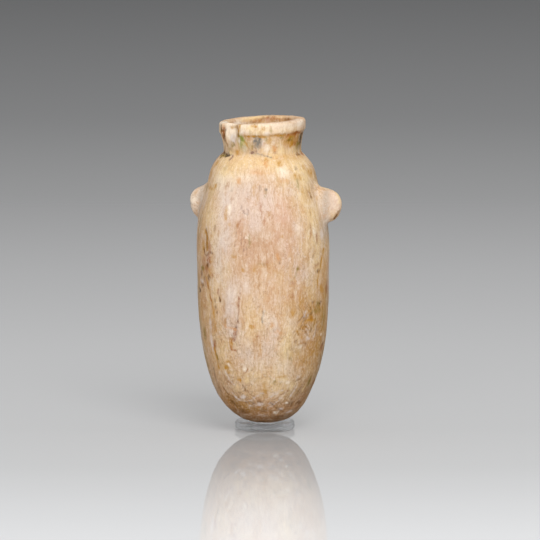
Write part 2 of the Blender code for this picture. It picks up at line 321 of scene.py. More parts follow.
# Broad soft marks: kind, turn from the front (degrees), height, half width, half height (mm), strength
washes = [
    # painted shade on the flanks, darker where the wall turns away from the lights
    ("umber", 90, 38, 3.2, 9, 0.55),
    ("olive", 93, 54, 3.2, 10, 0.45),
    ("umber", 89, 22, 3.4, 8, 0.65),
    ("umber", 84, 11, 3.6, 5, 0.6),
    ("umber", -92, 26, 3.0, 9, 0.5),
    ("umber", -89, 12, 3.4, 6, 0.6),
    ("olive", -92, 46, 2.8, 9, 0.3),
    # brown underside of the foot: partly brown stain, partly painted shade under the foot and along its lower
    # edge
    ("russet", 0, 4.5, 80, 3.0, 0.4),
    ("umber", 0, 1.5, 80, 2.6, 0.6),
    # umber at the foot's edge on both sides: painted shade
    ("umber", -66, 9, 7, 4.5, 0.32),
    ("umber", 74, 9, 6, 5, 0.25),
    # rim band, pale
    ("ivory", -4, 90.4, 13.2, 1.6, 0.8),
    ("cream", -9, 89.8, 7.1, 1.5, 0.6),
    ("cream", 41, 89.5, 3.3, 0.9, 0.3),
    ("veil", -29, 89.1, 1.2, 0.7, 0.6),
    ("pink", 15, 90.4, 1.4, 0.9, 0.35),
    ("veil", 2, 89.1, 1, 0.5, 0.6),
    # painted highlight on the rim's right end
    ("ivory", 62, 91.2, 1.8, 1.2, 0.8),
    ("tan", 84, 88.6, 1.6, 0.4, 0.4),
    # scar of the lost flake
    ("white", -56, 88.9, 2.5, 2.4, 0.6),
    ("tan", -86, 91.1, 3.1, 0.6, 0.7),
    ("ochre", -119, 90.2, 1.2, 0.5, 0.5),
    # neck, left and green stains
    ("tan", -67, 83.4, 2, 1.2, 0.3),
    ("ochre", -44, 83.6, 1.5, 1.6, 0.5),
    ("ochre", -43, 84.8, 2.3, 2.4, 0.3),
    ("olive", -27, 84.9, 1.9, 1.8, 0.35),
    ("olive", -58, 83.6, 1.1, 1.2, 0.45),
    ("green", -33, 85.8, 1.4, 2.1, 0.38),
    ("green", -34, 86.5, 1.2, 1.9, 0.45),
    ("veil", -31, 84.3, 0.8, 1.2, 0.5),
    ("green", -31, 84.5, 1, 1.2, 0.22),
    ("ash", -56, 84.8, 1, 0.8, 0.3),
    ("ivory", -48, 84.7, 0.9, 1.5, 0.35),
    ("rust", -22, 87.5, 1.1, 0.7, 0.35),
    ("slate", -11, 85.6, 1.2, 2.1, 0.6),
    ("slate", -10, 82.3, 1.8, 0.5, 0.35),
    # neck, middle and right
    ("ochre", -4, 87.8, 0.9, 0.5, 0.5),
    ("veil", -2, 86, 0.8, 1.2, 0.6),
    ("cream", 41, 82.9, 3.3, 1.2, 0.6),
    ("ochre", 50, 87.1, 3.7, 2.1, 0.7),
    ("ochre", 45, 86.3, 3.3, 1.6, 0.62),
    ("umber", 69, 86.3, 1.6, 2.1, 0.5),
    ("olive", 62, 83.9, 1.8, 1.1, 0.7),
    ("moss", 72, 86.2, 2.2, 2.1, 0.8),
    # shoulder
    ("cream", -3, 80.3, 12.8, 2.6, 0.55),
    ("cream", 49, 79.2, 5.4, 2.6, 0.6),
    ("cream", -46, 77.1, 6.1, 3.5, 0.85),
    ("ivory", -51, 74.4, 3.9, 2.4, 0.5),
    ("cream", 50, 76.1, 4.7, 2.6, 0.6),
    ("orange", -9, 77.7, 2.3, 0.7, 0.6),
    # painted highlight on the shoulder, where the light from the right front falls
    ("ivory", 22, 77.6, 1.8, 1.5, 0.65),
    ("ivory", 7, 76.4, 1.1, 0.9, 0.4),
    ("ochre", 25, 81.5, 2.4, 1, 0.45),
    ("ochre", 55, 81.3, 4.5, 1, 0.45),
    ("olive", -49, 78.4, 1.3, 0.8, 0.25),
    # upper body, left
    ("tan", -66, 67.3, 2, 5.3, 0.35),
    ("veil", -22, 71, 4.5, 4.7, 0.5),
    ("veil", -44, 68, 3.6, 5.3, 0.3),
    ("veil", -31, 65.4, 4.2, 4.1, 0.5),
    ("veil", -13, 65.4, 2.5, 4.1, 0.55),
    ("veil", -10, 63.4, 2.4, 2.4, 0.45),
    ("veil", -21, 72.7, 2.8, 2.1, 0.3),
    ("pink", -3, 67.7, 6.7, 4.7, 0.45),
    ("pink", -2, 56.2, 6.5, 8.8, 0.5),
    ("tan", -1, 55.7, 7.1, 11.8, 0.34),
    ("veil", -3, 69.4, 5.5, 4.4, 0.4),
    ("pink", 20, 71.2, 1.6, 2.4, 0.25),
    # upper body, right
    ("pink", 18, 65.9, 2.9, 4.1, 0.55),
    ("cream", 50, 64.9, 3.3, 6.5, 0.5),
    ("pink", 10, 59.7, 3.6, 3.5, 0.35),
    ("veil", 3, 68.2, 2.5, 3.5, 0.35),
    ("cream", 45, 73, 3.8, 4.7, 0.6),
    ("ochre", 52, 70.7, 1.7, 1.5, 0.5),
    ("ivory", 32, 61.6, 1.1, 2.6, 0.5),
    # lugs
    ("ivory", -100, 67.4, 1.5, 2.9, 0.85),
    ("tan", -100, 66.5, 0.5, 2.6, 0.15),
    ("ivory", 70, 68.1, 1.5, 2.9, 0.1),
    ("veil", 70, 67.9, 1.2, 2.6, 0.42),
    # left side
    # painted shade along the left limb
    ("olive", -78, 61, 1.2, 4.1, 0.5),
    ("rust", -58, 50.3, 2.1, 5.3, 0.45),
    ("umber", -59, 57.4, 0.8, 2.9, 0.5),
    # these two olive marks: painted shade along the left limb
    ("olive", -80, 38.7, 1.2, 10, 0.5),
    ("olive", -79, 20.3, 1.5, 4.1, 0.45),
    ("ochre", -70, 55.4, 2.2, 7.1, 0.4),
    ("tan", -62, 47.8, 3.9, 5.3, 0.3),
    ("veil", -42, 52.7, 2.3, 7.1, 0.5),
    ("veil", -35, 58.1, 2.5, 4.4, 0.5),
    ("pink", -21, 59.6, 1.6, 5.9, 0.5),
    ("ochre", -71, 36.2, 3.2, 7.6, 0.45),
    ("veil", -36, 36.4, 1.4, 4.1, 0.3),
    ("ochre", -64, 24.5, 3.3, 4.7, 0.3),
    ("veil", -29, 42.7, 2, 2.4, 0.5),
    ("veil", -25, 45.8, 1.6, 2.1, 0.4),
    ("veil", -31, 38.6, 1.7, 2.4, 0.42),
    ("veil", -36, 34, 1.4, 2.1, 0.3),
    # middle
    ("veil", -30, 39.8, 2, 8.2, 0.45),
    ("veil", -26, 35.4, 1, 4.1, 0.35),
    ("cream", 19, 27.5, 1.6, 6.5, 0.5),
    ("cream", -13, 36.2, 1.5, 5.9, 0.35),
    ("pink", -13, 55.6, 6, 5.9, 0.6),
    ("pink", 18, 57, 5.1, 5.9, 0.45),
    ("ash", -2, 59.1, 4.7, 4.1, 0.2),
    ("cream", -2, 41, 8.8, 7.6, 0.1),
    ("pink", 5, 43.4, 3, 6.5, 0.45),
    ("ochre", -41, 22.5, 5.5, 4.1, 0.25),
    ("ochre", -54, 31, 1.9, 7.1, 0.4),
    ("ochre", -1, 51, 2.4, 0.8, 0.45),
    ("olive", -2, 51.6, 1.5, 0.5, 0.3),
    ("ivory", 2, 35.4, 0.7, 2.6, 0.45),
    ("ochre", -7, 28.8, 1.1, 3.2, 0.5),
    ("tan", 25, 37.2, 1.3, 1.8, 0.35),
    ("ochre", 26, 38.9, 1.5, 2.1, 0.5),
    ("cream", 22, 29.5, 0.8, 3.8, 0.7),
    ("cream", 17, 26, 2.5, 2.4, 0.45),
    # right side
    ("cream", 55, 53, 3.6, 10, 0.3),
    # olive here and in the next two lines: painted shade along the right limb
    ("olive", 81, 41, 1.2, 7.6, 0.5),
    ("olive", 81, 20.1, 1.5, 4.7, 0.5),
    ("olive", 79, 75.3, 1.2, 2.4, 0.45),
    ("ochre", 68, 48.7, 2.2, 7.1, 0.4),
    ("tan", -13, 55, 7.8, 18.2, 0.24),
    ("cream", -63, 66.8, 3.3, 7.6, 0.4),
    ("ivory", -20, 76.1, 2.6, 2.1, 0.35),
    ("pink", 15, 66.2, 2.5, 3.5, 0.35),
    ("veil", 39, 47.7, 2.3, 2.4, 0.4),
    ("veil", -16, 44.7, 1.8, 3.2, 0.45),
    ("ochre", -6, 23.7, 2.1, 3.2, 0.22),
    ("ochre", -42, 33.8, 2.3, 2.4, 0.18),
    ("cream", 54, 37.1, 2.1, 2.6, 0.3),
    ("cream", -22, 12.7, 2.5, 1.5, 0.35),
    ("cream", 37, 12.4, 2.5, 1.5, 0.35),
    ("ochre", 72, 9.9, 6.9, 2.9, 0.3),
    ("pink", 15, 66.5, 3.2, 5.3, 0.3),
    ("tan", 12, 41.5, 1.8, 2.4, 0.2),
    ("veil", 3, 26.7, 3.6, 5.3, 0.34),
    ("veil", -18, 24.8, 2.8, 4.1, 0.4),
    ("ivory", 27, 21, 3.1, 3.2, 0.45),
    ("ivory", 25, 34.5, 2, 2.9, 0.45),
    ("veil", -29, 30.6, 2, 2.1, 0.5),
    ("cream", -45, 24.7, 2.6, 5.3, 0.4),
    ("tan", 46, 34.2, 6.4, 7.1, 0.42),
    ("ochre", 44, 34.9, 5.3, 5.3, 0.3),
    ("olive", 32, 25.1, 3.2, 2.6, 0.4),
    ("cream", 27, 25.2, 2, 2.6, 0.4),
    ("ochre", 36, 23.1, 3.4, 2.6, 0.45),
    ("ochre", 64, 25.7, 3, 2.6, 0.5),
    ("olive", 71, 39.1, 2.3, 5.3, 0.5),
    ("ochre", 46, 36.6, 4.9, 5.3, 0.5),
    ("ochre", 36, 40.5, 2.3, 2.4, 0.45),
    ("ochre", 67, 33.9, 3, 8.8, 0.9),
    ("ochre", 66, 19.6, 3.8, 4.7, 0.4),
    ("umber", 74, 19.2, 2.9, 4.7, 0.25),
    ("veil", -8, 62.9, 2.7, 2.9, 0.4),
    ("tan", 53, 37.5, 2.1, 1.5, 0.6),
    ("ochre", 54, 37.2, 2.1, 1.2, 0.5),
    ("ochre", 36, 40.9, 1.3, 1.2, 0.4),
    ("olive", 68, 33.9, 1.5, 2.9, 0.6),
    ("ochre", 55, 24.9, 3.7, 3.5, 0.6),
    ("ochre", 40, 21.5, 3.5, 2.9, 0.5),
    # foot
    ("cream", -11, 16.3, 7.6, 3.2, 0.25),
    ("cream", 22, 14.3, 5.3, 2.6, 0.3),
    ("cream", -41, 17, 3.2, 3.5, 0.3),
    ("russet", -4, 7.4, 24, 2.1, 0.42),
    ("orange", -4, 9.4, 20.8, 4.1, 0.3),
    ("pink", -28, 14.8, 5.7, 2.9, 0.3),
    ("umber", -6, 4.3, 32.9, 1.1, 0.38),
    ("russet", -48, 9.5, 4.1, 2.4, 0.6),
    ("pink", -55, 14.6, 4, 2.9, 0.4),
    ("ochre", -47, 9.9, 3.6, 2.1, 0.35),
    ("ochre", -40, 9.5, 4.2, 2.4, 0.5),
    ("umber", -44, 9.7, 2.6, 1.5, 0.4),
    ("umber", -41, 6.3, 3.7, 1.2, 0.4),
    ("ochre", -25, 7.5, 2.3, 1.2, 0.45),
    ("ochre", -52, 15.3, 3, 3.5, 0.35),
    ("umber", -50, 5.9, 5.9, 1.2, 0.4),
    ("rust", -39, 14.9, 3.2, 2.1, 0.2),
    ("ochre", -20, 7.9, 3.7, 1.2, 0.55),
    ("umber", -17, 7.6, 2.9, 0.9, 0.4),
    ("russet", 49, 13.9, 2.9, 2.4, 0.45),
    ("umber", 41, 12.9, 4, 2.6, 0.22),
    ("ochre", 54, 16.4, 3.3, 3.5, 0.45),
    ("russet", 52, 9.4, 4.2, 2.4, 0.5),
]

# Firm-edged marks, given in the same way
spots = [
    # rim band, pale
    ("ochre", -15, 91, 1, 0.5, 0.8),
    ("cream", -19, 90.2, 0.9, 0.5, 0.57),
    ("olive", -20, 89, 0.4, 0.6, 0.63),
    ("ochre", -1, 90.2, 0.7, 0.5, 0.69),
    ("ochre", -11, 90.9, 0.6, 0.4, 0.57),
    ("cream", -4, 89.4, 1.1, 0.5, 0.4),
    ("tan", -5, 89, 0.5, 0.7, 0.57),
    ("olive", 8, 89.7, 0.4, 0.9, 0.46),
    ("ochre", 39, 88.3, 0.8, 0.4, 0.57),
    # scar of the lost flake
    ("white", -59, 89.8, 2.4, 2.1, 0.86),
    ("white", -56, 88.2, 2.6, 1.9, 0.92),
    ("veil", -51, 86.9, 1.7, 1.4, 0.69),
    ("ivory", -82, 90.9, 2.5, 0.5, 0.69),
    ("ochre", -54, 90, 1, 0.4, 0.69),
    ("ochre", -43, 90.3, 1.5, 0.5, 0.69),
    ("soot", -72, 88.6, 0.4, 0.5, 0.69),
    # neck, left and green stains
    ("olive", -51, 85.1, 0.9, 0.7, 0.69),
    ("ochre", -42, 82.9, 0.9, 0.9, 0.69),
    ("cream", -57, 82.4, 1, 0.5, 0.69),
    ("soot", -69, 81.7, 2.8, 0.6, 1),
    ("soot", -69, 81.8, 1.9, 0.5, 1),
    ("olive", -79, 81.2, 2.1, 0.5, 0.92),
    ("cream", -32, 85.9, 0.4, 0.5, 0.63),
    ("veil", -37, 86.4, 0.4, 0.6, 0.57),
    ("cream", -31, 85.4, 0.4, 0.4, 0.46),
    ("olive", -33, 87, 0.5, 0.5, 0.8),
    ("olive", -18, 84.8, 0.5, 0.8, 0.69),
    ("slate", -12, 87.6, 1, 0.5, 0.86),
    ("slate", -7, 86.3, 0.8, 1.5, 0.86),
    ("slate", -11, 84.8, 0.8, 0.7, 0.63),
    ("slate", -14, 86.2, 0.5, 0.5, 0.69),
    ("slate", -10, 86.8, 0.8, 1.3, 0.48),
    ("plum", -18, 83.2, 0.9, 0.5, 0.8),
    ("plum", -12, 83.4, 0.4, 0.4, 0.69),
    ("plum", -3, 82.3, 0.6, 0.4, 0.57),
    ("plum", 3, 82.1, 0.5, 0.4, 0.57),
    # neck, middle and right
    ("olive", 2, 87, 0.6, 0.8, 0.63),
    ("ochre", 7, 86.5, 0.5, 1.3, 0.57),
    ("olive", 25, 87.7, 0.7, 0.8, 0.92),
    ("ochre", 18, 88, 0.8, 0.5, 0.69),
    ("ivory", 3, 84.3, 0.9, 1.2, 0.57),
    ("orange", 15, 84.3, 0.7, 1.1, 0.69),
    ("rust", 16, 83.1, 0.6, 0.6, 0.57),
    ("cream", 24, 83.8, 1.1, 1, 0.57),
    ("rust", 52, 88.4, 1.8, 0.6, 0.98),
    ("russet", 43, 87.9, 3, 0.9, 0.63),
    ("olive", 42, 86.6, 1.8, 0.9, 0.8),
    ("ochre", 47, 85.9, 2.5, 1.3, 0.86),
    ("ochre", 38, 87, 1.7, 0.8, 0.57),
    ("olive", 41, 86.6, 1.3, 0.5, 0.69),
    ("ochre", 44, 85.2, 1, 1.1, 0.69),
    ("tan", 53, 86.4, 1.2, 0.9, 0.69),
    ("rust", 59, 85.2, 2.4, 0.6, 0.69),
    ("olive", 63, 85.1, 1.6, 0.7, 0.92),
    ("umber", 78, 87.7, 2.2, 0.5, 1),
    ("umber", 62, 81.9, 1.3, 0.5, 0.8),
    ("rust", 79, 81.9, 1.5, 0.7, 0.92),
    ("ochre", 80, 83.1, 1.2, 1.1, 0.57),
    # shoulder
    ("orange", 2, 80.2, 0.7, 1, 0.92),
    ("ochre", 2, 81.2, 0.9, 0.5, 0.63),
    ("ochre", 19, 79.9, 1, 1, 0.63),
    ("orange", 22, 75.2, 1.6, 0.6, 0.4),
    ("umber", 39, 78.5, 0.5, 0.5, 0.49),
    ("ochre", 36, 76.1, 0.9, 1, 0.69),
    ("ochre", 43, 75.8, 0.7, 1, 0.52),
    ("ochre", 65, 76.8, 2.1, 1.2, 0.69),
    ("ochre", 54, 78.5, 0.8, 0.6, 0.46),
    ("ochre", -75, 79.1, 1.5, 1.1, 0.57),
    # upper body, left
    ("ochre", -59, 73, 1, 0.8, 0.69),
    ("ochre", -68, 72.1, 2.4, 0.5, 0.57),
    ("olive", -83, 71.5, 1.1, 1.4, 0.52),
    ("rust", -41, 74.1, 0.6, 0.8, 0.46),
    ("rust", -43, 73.1, 0.5, 0.6, 0.32),
    ("orange", -28, 75.1, 0.7, 1.1, 0.57),
    ("umber", -35, 72.4, 0.5, 0.7, 0.39),
    ("rust", -33, 69.9, 0.5, 0.7, 0.41),
    ("ochre", -11, 72.8, 0.5, 1.7, 0.52),
    ("tan", -7, 70.5, 0.6, 1.7, 0.57),
    ("umber", -5, 73.3, 0.4, 0.9, 0.43),
    ("slate", 2, 72.9, 0.4, 0.5, 0.61),
    ("ochre", -37, 65.6, 0.6, 2.1, 0.57),
    ("ivory", -35, 66.7, 0.7, 1.7, 0.69),
    ("ivory", -21, 65.8, 0.4, 0.3, 1),
    ("ivory", -17, 65.9, 0.3, 0.4, 0.92),
    ("rust", -4, 67.8, 0.5, 1.4, 0.64),
    ("rust", -3, 65.8, 0.4, 1.1, 0.6),
    ("rust", 0, 63.9, 0.4, 1.4, 0.51),
    ("tan", 4, 66.1, 0.5, 0.9, 0.92),
    ("tan", -25, 62.7, 0.6, 1, 0.57),
    ("umber", -48, 61.3, 0.5, 1, 0.39),
    ("ochre", -33, 62.6, 0.5, 0.5, 0.57),
    # upper body, right
    ("olive", 38, 74, 0.5, 1.5, 0.52),
    ("ochre", 43, 72.5, 0.6, 1.1, 0.57),
    ("tan", 72, 72, 0.7, 0.6, 0.69),
    ("pink", 18, 64.4, 0.9, 1, 0.8),
    ("tan", 24, 67.8, 0.9, 0.4, 0.46),
    ("ivory", 50, 60.3, 0.6, 1.7, 0.63),
    ("veil", 62, 58.6, 1, 1.4, 0.69),
    ("rust", 54, 58.1, 0.6, 1.6, 0.69),
    # lugs
    ("slate", -102, 66.3, 0.5, 0.5, 0.64),
    # left side
    ("rust", -64, 50.7, 0.9, 1.7, 0.46),
    ("rust", -59, 49, 1, 1.3, 0.52),
    ("ochre", -54, 48.1, 1, 1.6, 0.52),
    ("umber", -63, 45.9, 0.8, 0.9, 0.46),
    ("rust", -60, 44.3, 1, 1.1, 0.57),
    ("ochre", -65, 55.3, 1.2, 2.1, 0.57),
    ("rust", -54, 55.5, 0.7, 1.3, 0.46),
    ("ochre", -52, 51.2, 0.8, 1.5, 0.46),
    ("umber", -52, 53.9, 0.9, 0.5, 0.89),
    ("umber", -57, 50.1, 0.7, 0.9, 0.79),
    ("umber", -69, 47.1, 0.8, 1, 0.69),
    ("umber", -55, 46.5, 0.6, 1.1, 0.79),
    ("rust", -50, 47.1, 0.7, 0.7, 0.8),
    ("umber", -67, 43.8, 1.1, 0.6, 0.75),
    ("soot", -76, 41.9, 1.1, 0.8, 0.79),
    ("veil", -68, 44.8, 1.4, 0.7, 0.52),
    ("olive", -66, 48.8, 1.5, 1, 0.69),
    ("tan", -38, 38.7, 0.6, 2.2, 0.69),
    ("umber", -48, 40, 0.4, 0.7, 0.46),
    ("umber", -47, 38, 0.4, 0.6, 0.46),
    ("umber", -46, 36.5, 0.4, 0.4, 0.46),
    ("rust", -23, 38.5, 0.4, 1.7, 0.69),
    ("rust", -23, 40.8, 0.6, 0.9, 0.4),
    ("umber", -24, 34.4, 0.3, 0.8, 0.6),
    ("umber", -26, 32.6, 0.5, 0.3, 0.6),
    ("olive", -69, 29.4, 1.1, 2.2, 0.69),
    ("rust", -28, 31.2, 0.6, 1.4, 0.75),
    ("rust", -29, 29.1, 1, 0.6, 0.57),
    ("ochre", -32, 27.9, 0.6, 1.6, 1),
    ("rust", -32, 28.4, 0.4, 0.7, 0.57),
    ("rust", -53, 26.8, 0.9, 1.4, 0.86),
    ("veil", -57, 27, 0.7, 2.6, 0.69),
    ("veil", -56, 32.4, 0.7, 2.6, 0.46),
    ("tan", -37, 34.1, 0.4, 1.4, 0.69),
    ("tan", -40, 33.9, 0.4, 1.1, 0.57),
    # middle
    ("ivory", -16, 59.3, 0.4, 0.5, 0.46),
    ("rust", -18, 58.3, 0.4, 0.9, 0.37),
    ("ochre", -27, 53.5, 1.1, 0.6, 0.57),
    ("ochre", -19, 49.6, 0.7, 0.8, 0.57),
    ("ochre", -9, 50.1, 0.5, 1.2, 0.46),
    ("umber", -1, 51.5, 0.5, 0.4, 0.43),
    ("rust", 2, 51.7, 0.5, 1.1, 0.37),
    ("umber", 13, 51.7, 0.4, 0.5, 0.49),
    ("ivory", 9, 51.8, 0.3, 0.4, 0.34),
    ("ochre", 15, 59.4, 0.8, 0.5, 0.52),
    ("olive", 30, 50, 0.5, 1, 0.69),
    ("rust", 24, 45.7, 1.1, 0.7, 0.32),
    ("rust", 37, 45.4, 0.6, 0.7, 0.41),
    ("ochre", 40, 44.1, 1.4, 0.5, 0.69),
    ("ivory", 22, 53, 0.4, 0.5, 0.34),
    ("orange", 12, 53.4, 0.6, 1, 0.57),
    ("tan", 20, 50.1, 0.4, 0.7, 0.57),
    ("ochre", -11, 32.9, 0.6, 0.7, 0.75),
    ("orange", -9, 33.3, 0.5, 0.5, 0.57),
    ("ochre", -4, 26.5, 0.4, 1.8, 0.52),
    ("rust", -7, 30.2, 0.3, 0.5, 0.46),
    ("orange", 7, 33.3, 0.7, 0.9, 0.52),
    ("orange", 12, 31.3, 1.3, 0.6, 0.46),
    ("ochre", 25, 36.6, 1, 1.4, 0.57),
    ("rust", 25, 42, 0.5, 1.1, 0.46),
    # right side
    ("umber", 48, 52.7, 0.4, 0.7, 0.49),
    ("rust", 53, 50.3, 1, 0.7, 0.67),
    ("umber", 56, 48.2, 1, 0.7, 0.71),
    ("ochre", 61, 43.1, 1.3, 1.5, 0.8),
    ("rust", 73, 42.8, 1.1, 1.9, 0.77),
    ("olive", 54, 36.7, 2.2, 0.7, 0.71),
    ("olive", 56, 38.3, 1.1, 1.4, 0.63),
    ("umber", 49, 39.2, 0.8, 0.4, 0.71),
    ("umber", 59, 38.8, 1.1, 0.4, 0.71),
    ("umber", 45, 37.8, 0.4, 0.7, 0.67),
    ("umber", 46, 36.1, 0.6, 0.6, 0.53),
    ("ochre", 46, 34.6, 1.2, 0.9, 0.98),
    ("rust", 46, 34.6, 0.9, 0.7, 0.48),
    ("ochre", 39, 32.1, 1.4, 0.6, 0.69),
    ("rust", 38, 32.2, 0.8, 0.4, 0.34),
    ("umber", 30, 28.4, 0.5, 0.6, 0.57),
    ("tan", 38, 27.7, 1.5, 0.6, 0.69),
    ("rust", 39, 27.7, 0.6, 0.4, 0.29),
    ("umber", 41, 27.4, 0.7, 0.4, 0.45),
    ("veil", 38, 36.7, 0.5, 0.6, 0.46),
    ("veil", 43, 28.8, 1, 0.5, 0.57),
    ("umber", 37, 31.8, 0.4, 0.5, 0.45),
    ("ivory", 65, 29.3, 0.9, 0.5, 0.57),
    ("rust", 71, 25.1, 1.3, 1.1, 0.77),
    ("umber", 74, 26.1, 0.9, 0.6, 0.62),
    ("olive", 26, 23.1, 0.5, 0.7, 0.57),
    ("ivory", 34, 26.5, 1.5, 0.6, 0.4),
    # foot
    ("ochre", -37, 22, 1.1, 0.6, 0.92),
    ("ivory", -37, 21.1, 0.4, 0.6, 1),
    ("ochre", -40, 20.2, 0.9, 0.8, 0.92),
    ("ochre", -37, 18.8, 1, 0.5, 0.57),
    ("ochre", -26, 16.6, 0.5, 0.8, 0.8),
    ("ochre", -28, 17.1, 0.7, 0.7, 0.52),
    ("cream", -19, 16.5, 0.8, 1.1, 0.57),
    ("ivory", -21, 20.3, 0.7, 0.5, 0.79),
    ("cream", -32, 14.2, 1.2, 1.1, 0.57),
    ("veil", -26, 11.4, 0.9, 0.5, 0.69),
    ("veil", -33, 10.4, 0.6, 0.4, 0.69),
    ("veil", -37, 11.3, 0.6, 0.4, 0.57),
    ("umber", -43, 8.4, 0.8, 0.8, 0.64),
    ("umber", -33, 6.6, 1.6, 1.1, 0.55),
    ("umber", -1, 7, 1.1, 0.7, 0.4),
    ("umber", -46, 9.3, 0.8, 0.5, 0.69),
    ("umber", -38, 8.3, 0.8, 0.4, 0.69),
    ("umber", -24, 9.5, 0.7, 0.4, 0.63),
    ("umber", -50, 10.8, 0.8, 0.5, 0.57),
    ("umber", -14, 9.6, 0.6, 0.4, 0.57),
    ("veil", -19, 8.6, 0.6, 0.3, 0.57),
    ("veil", 7, 9.5, 0.6, 0.4, 0.57),
    ("veil", -7, 9.2, 1.4, 0.5, 0.79),
    ("umber", -6, 10.1, 1, 0.4, 0.55),
    ("veil", -5, 5.4, 1.5, 0.3, 0.34),
    ("ochre", 1, 13.9, 0.8, 2.4, 0.57),
    ("ivory", 19, 16.4, 0.8, 0.5, 0.6),
    ("ivory", 25, 15.9, 0.6, 0.7, 0.53),
    ("cream", 21, 16.9, 1.2, 0.5, 0.46),
    ("olive", 10, 16.2, 0.5, 0.6, 0.69),
    ("ochre", 18, 17.8, 1.5, 0.5, 0.57),
    ("cream", 31, 14.1, 0.5, 1.1, 0.69),
    ("umber", 39, 16.6, 0.7, 0.4, 0.51),
    ("veil", 37, 17.4, 0.7, 0.3, 0.53),
    ("olive", 59, 15.2, 1, 1.6, 0.8),
    ("umber", 36, 8.8, 1.3, 1, 0.55),
    ("umber", 53, 8.8, 1.6, 0.7, 0.64),
    ("ivory", 30, 9.3, 0.6, 0.4, 0.92),
    ("veil", 43, 6.1, 1.4, 0.4, 0.79),
    ("veil", 24, 7.5, 1, 0.4, 0.92),
    ("ivory", 18, 6.5, 0.8, 0.5, 0.79),
    ("umber", 30, 4.9, 1.4, 0.6, 0.46),
    ("rust", 74, 14.1, 1.1, 1.4, 0.77),
]

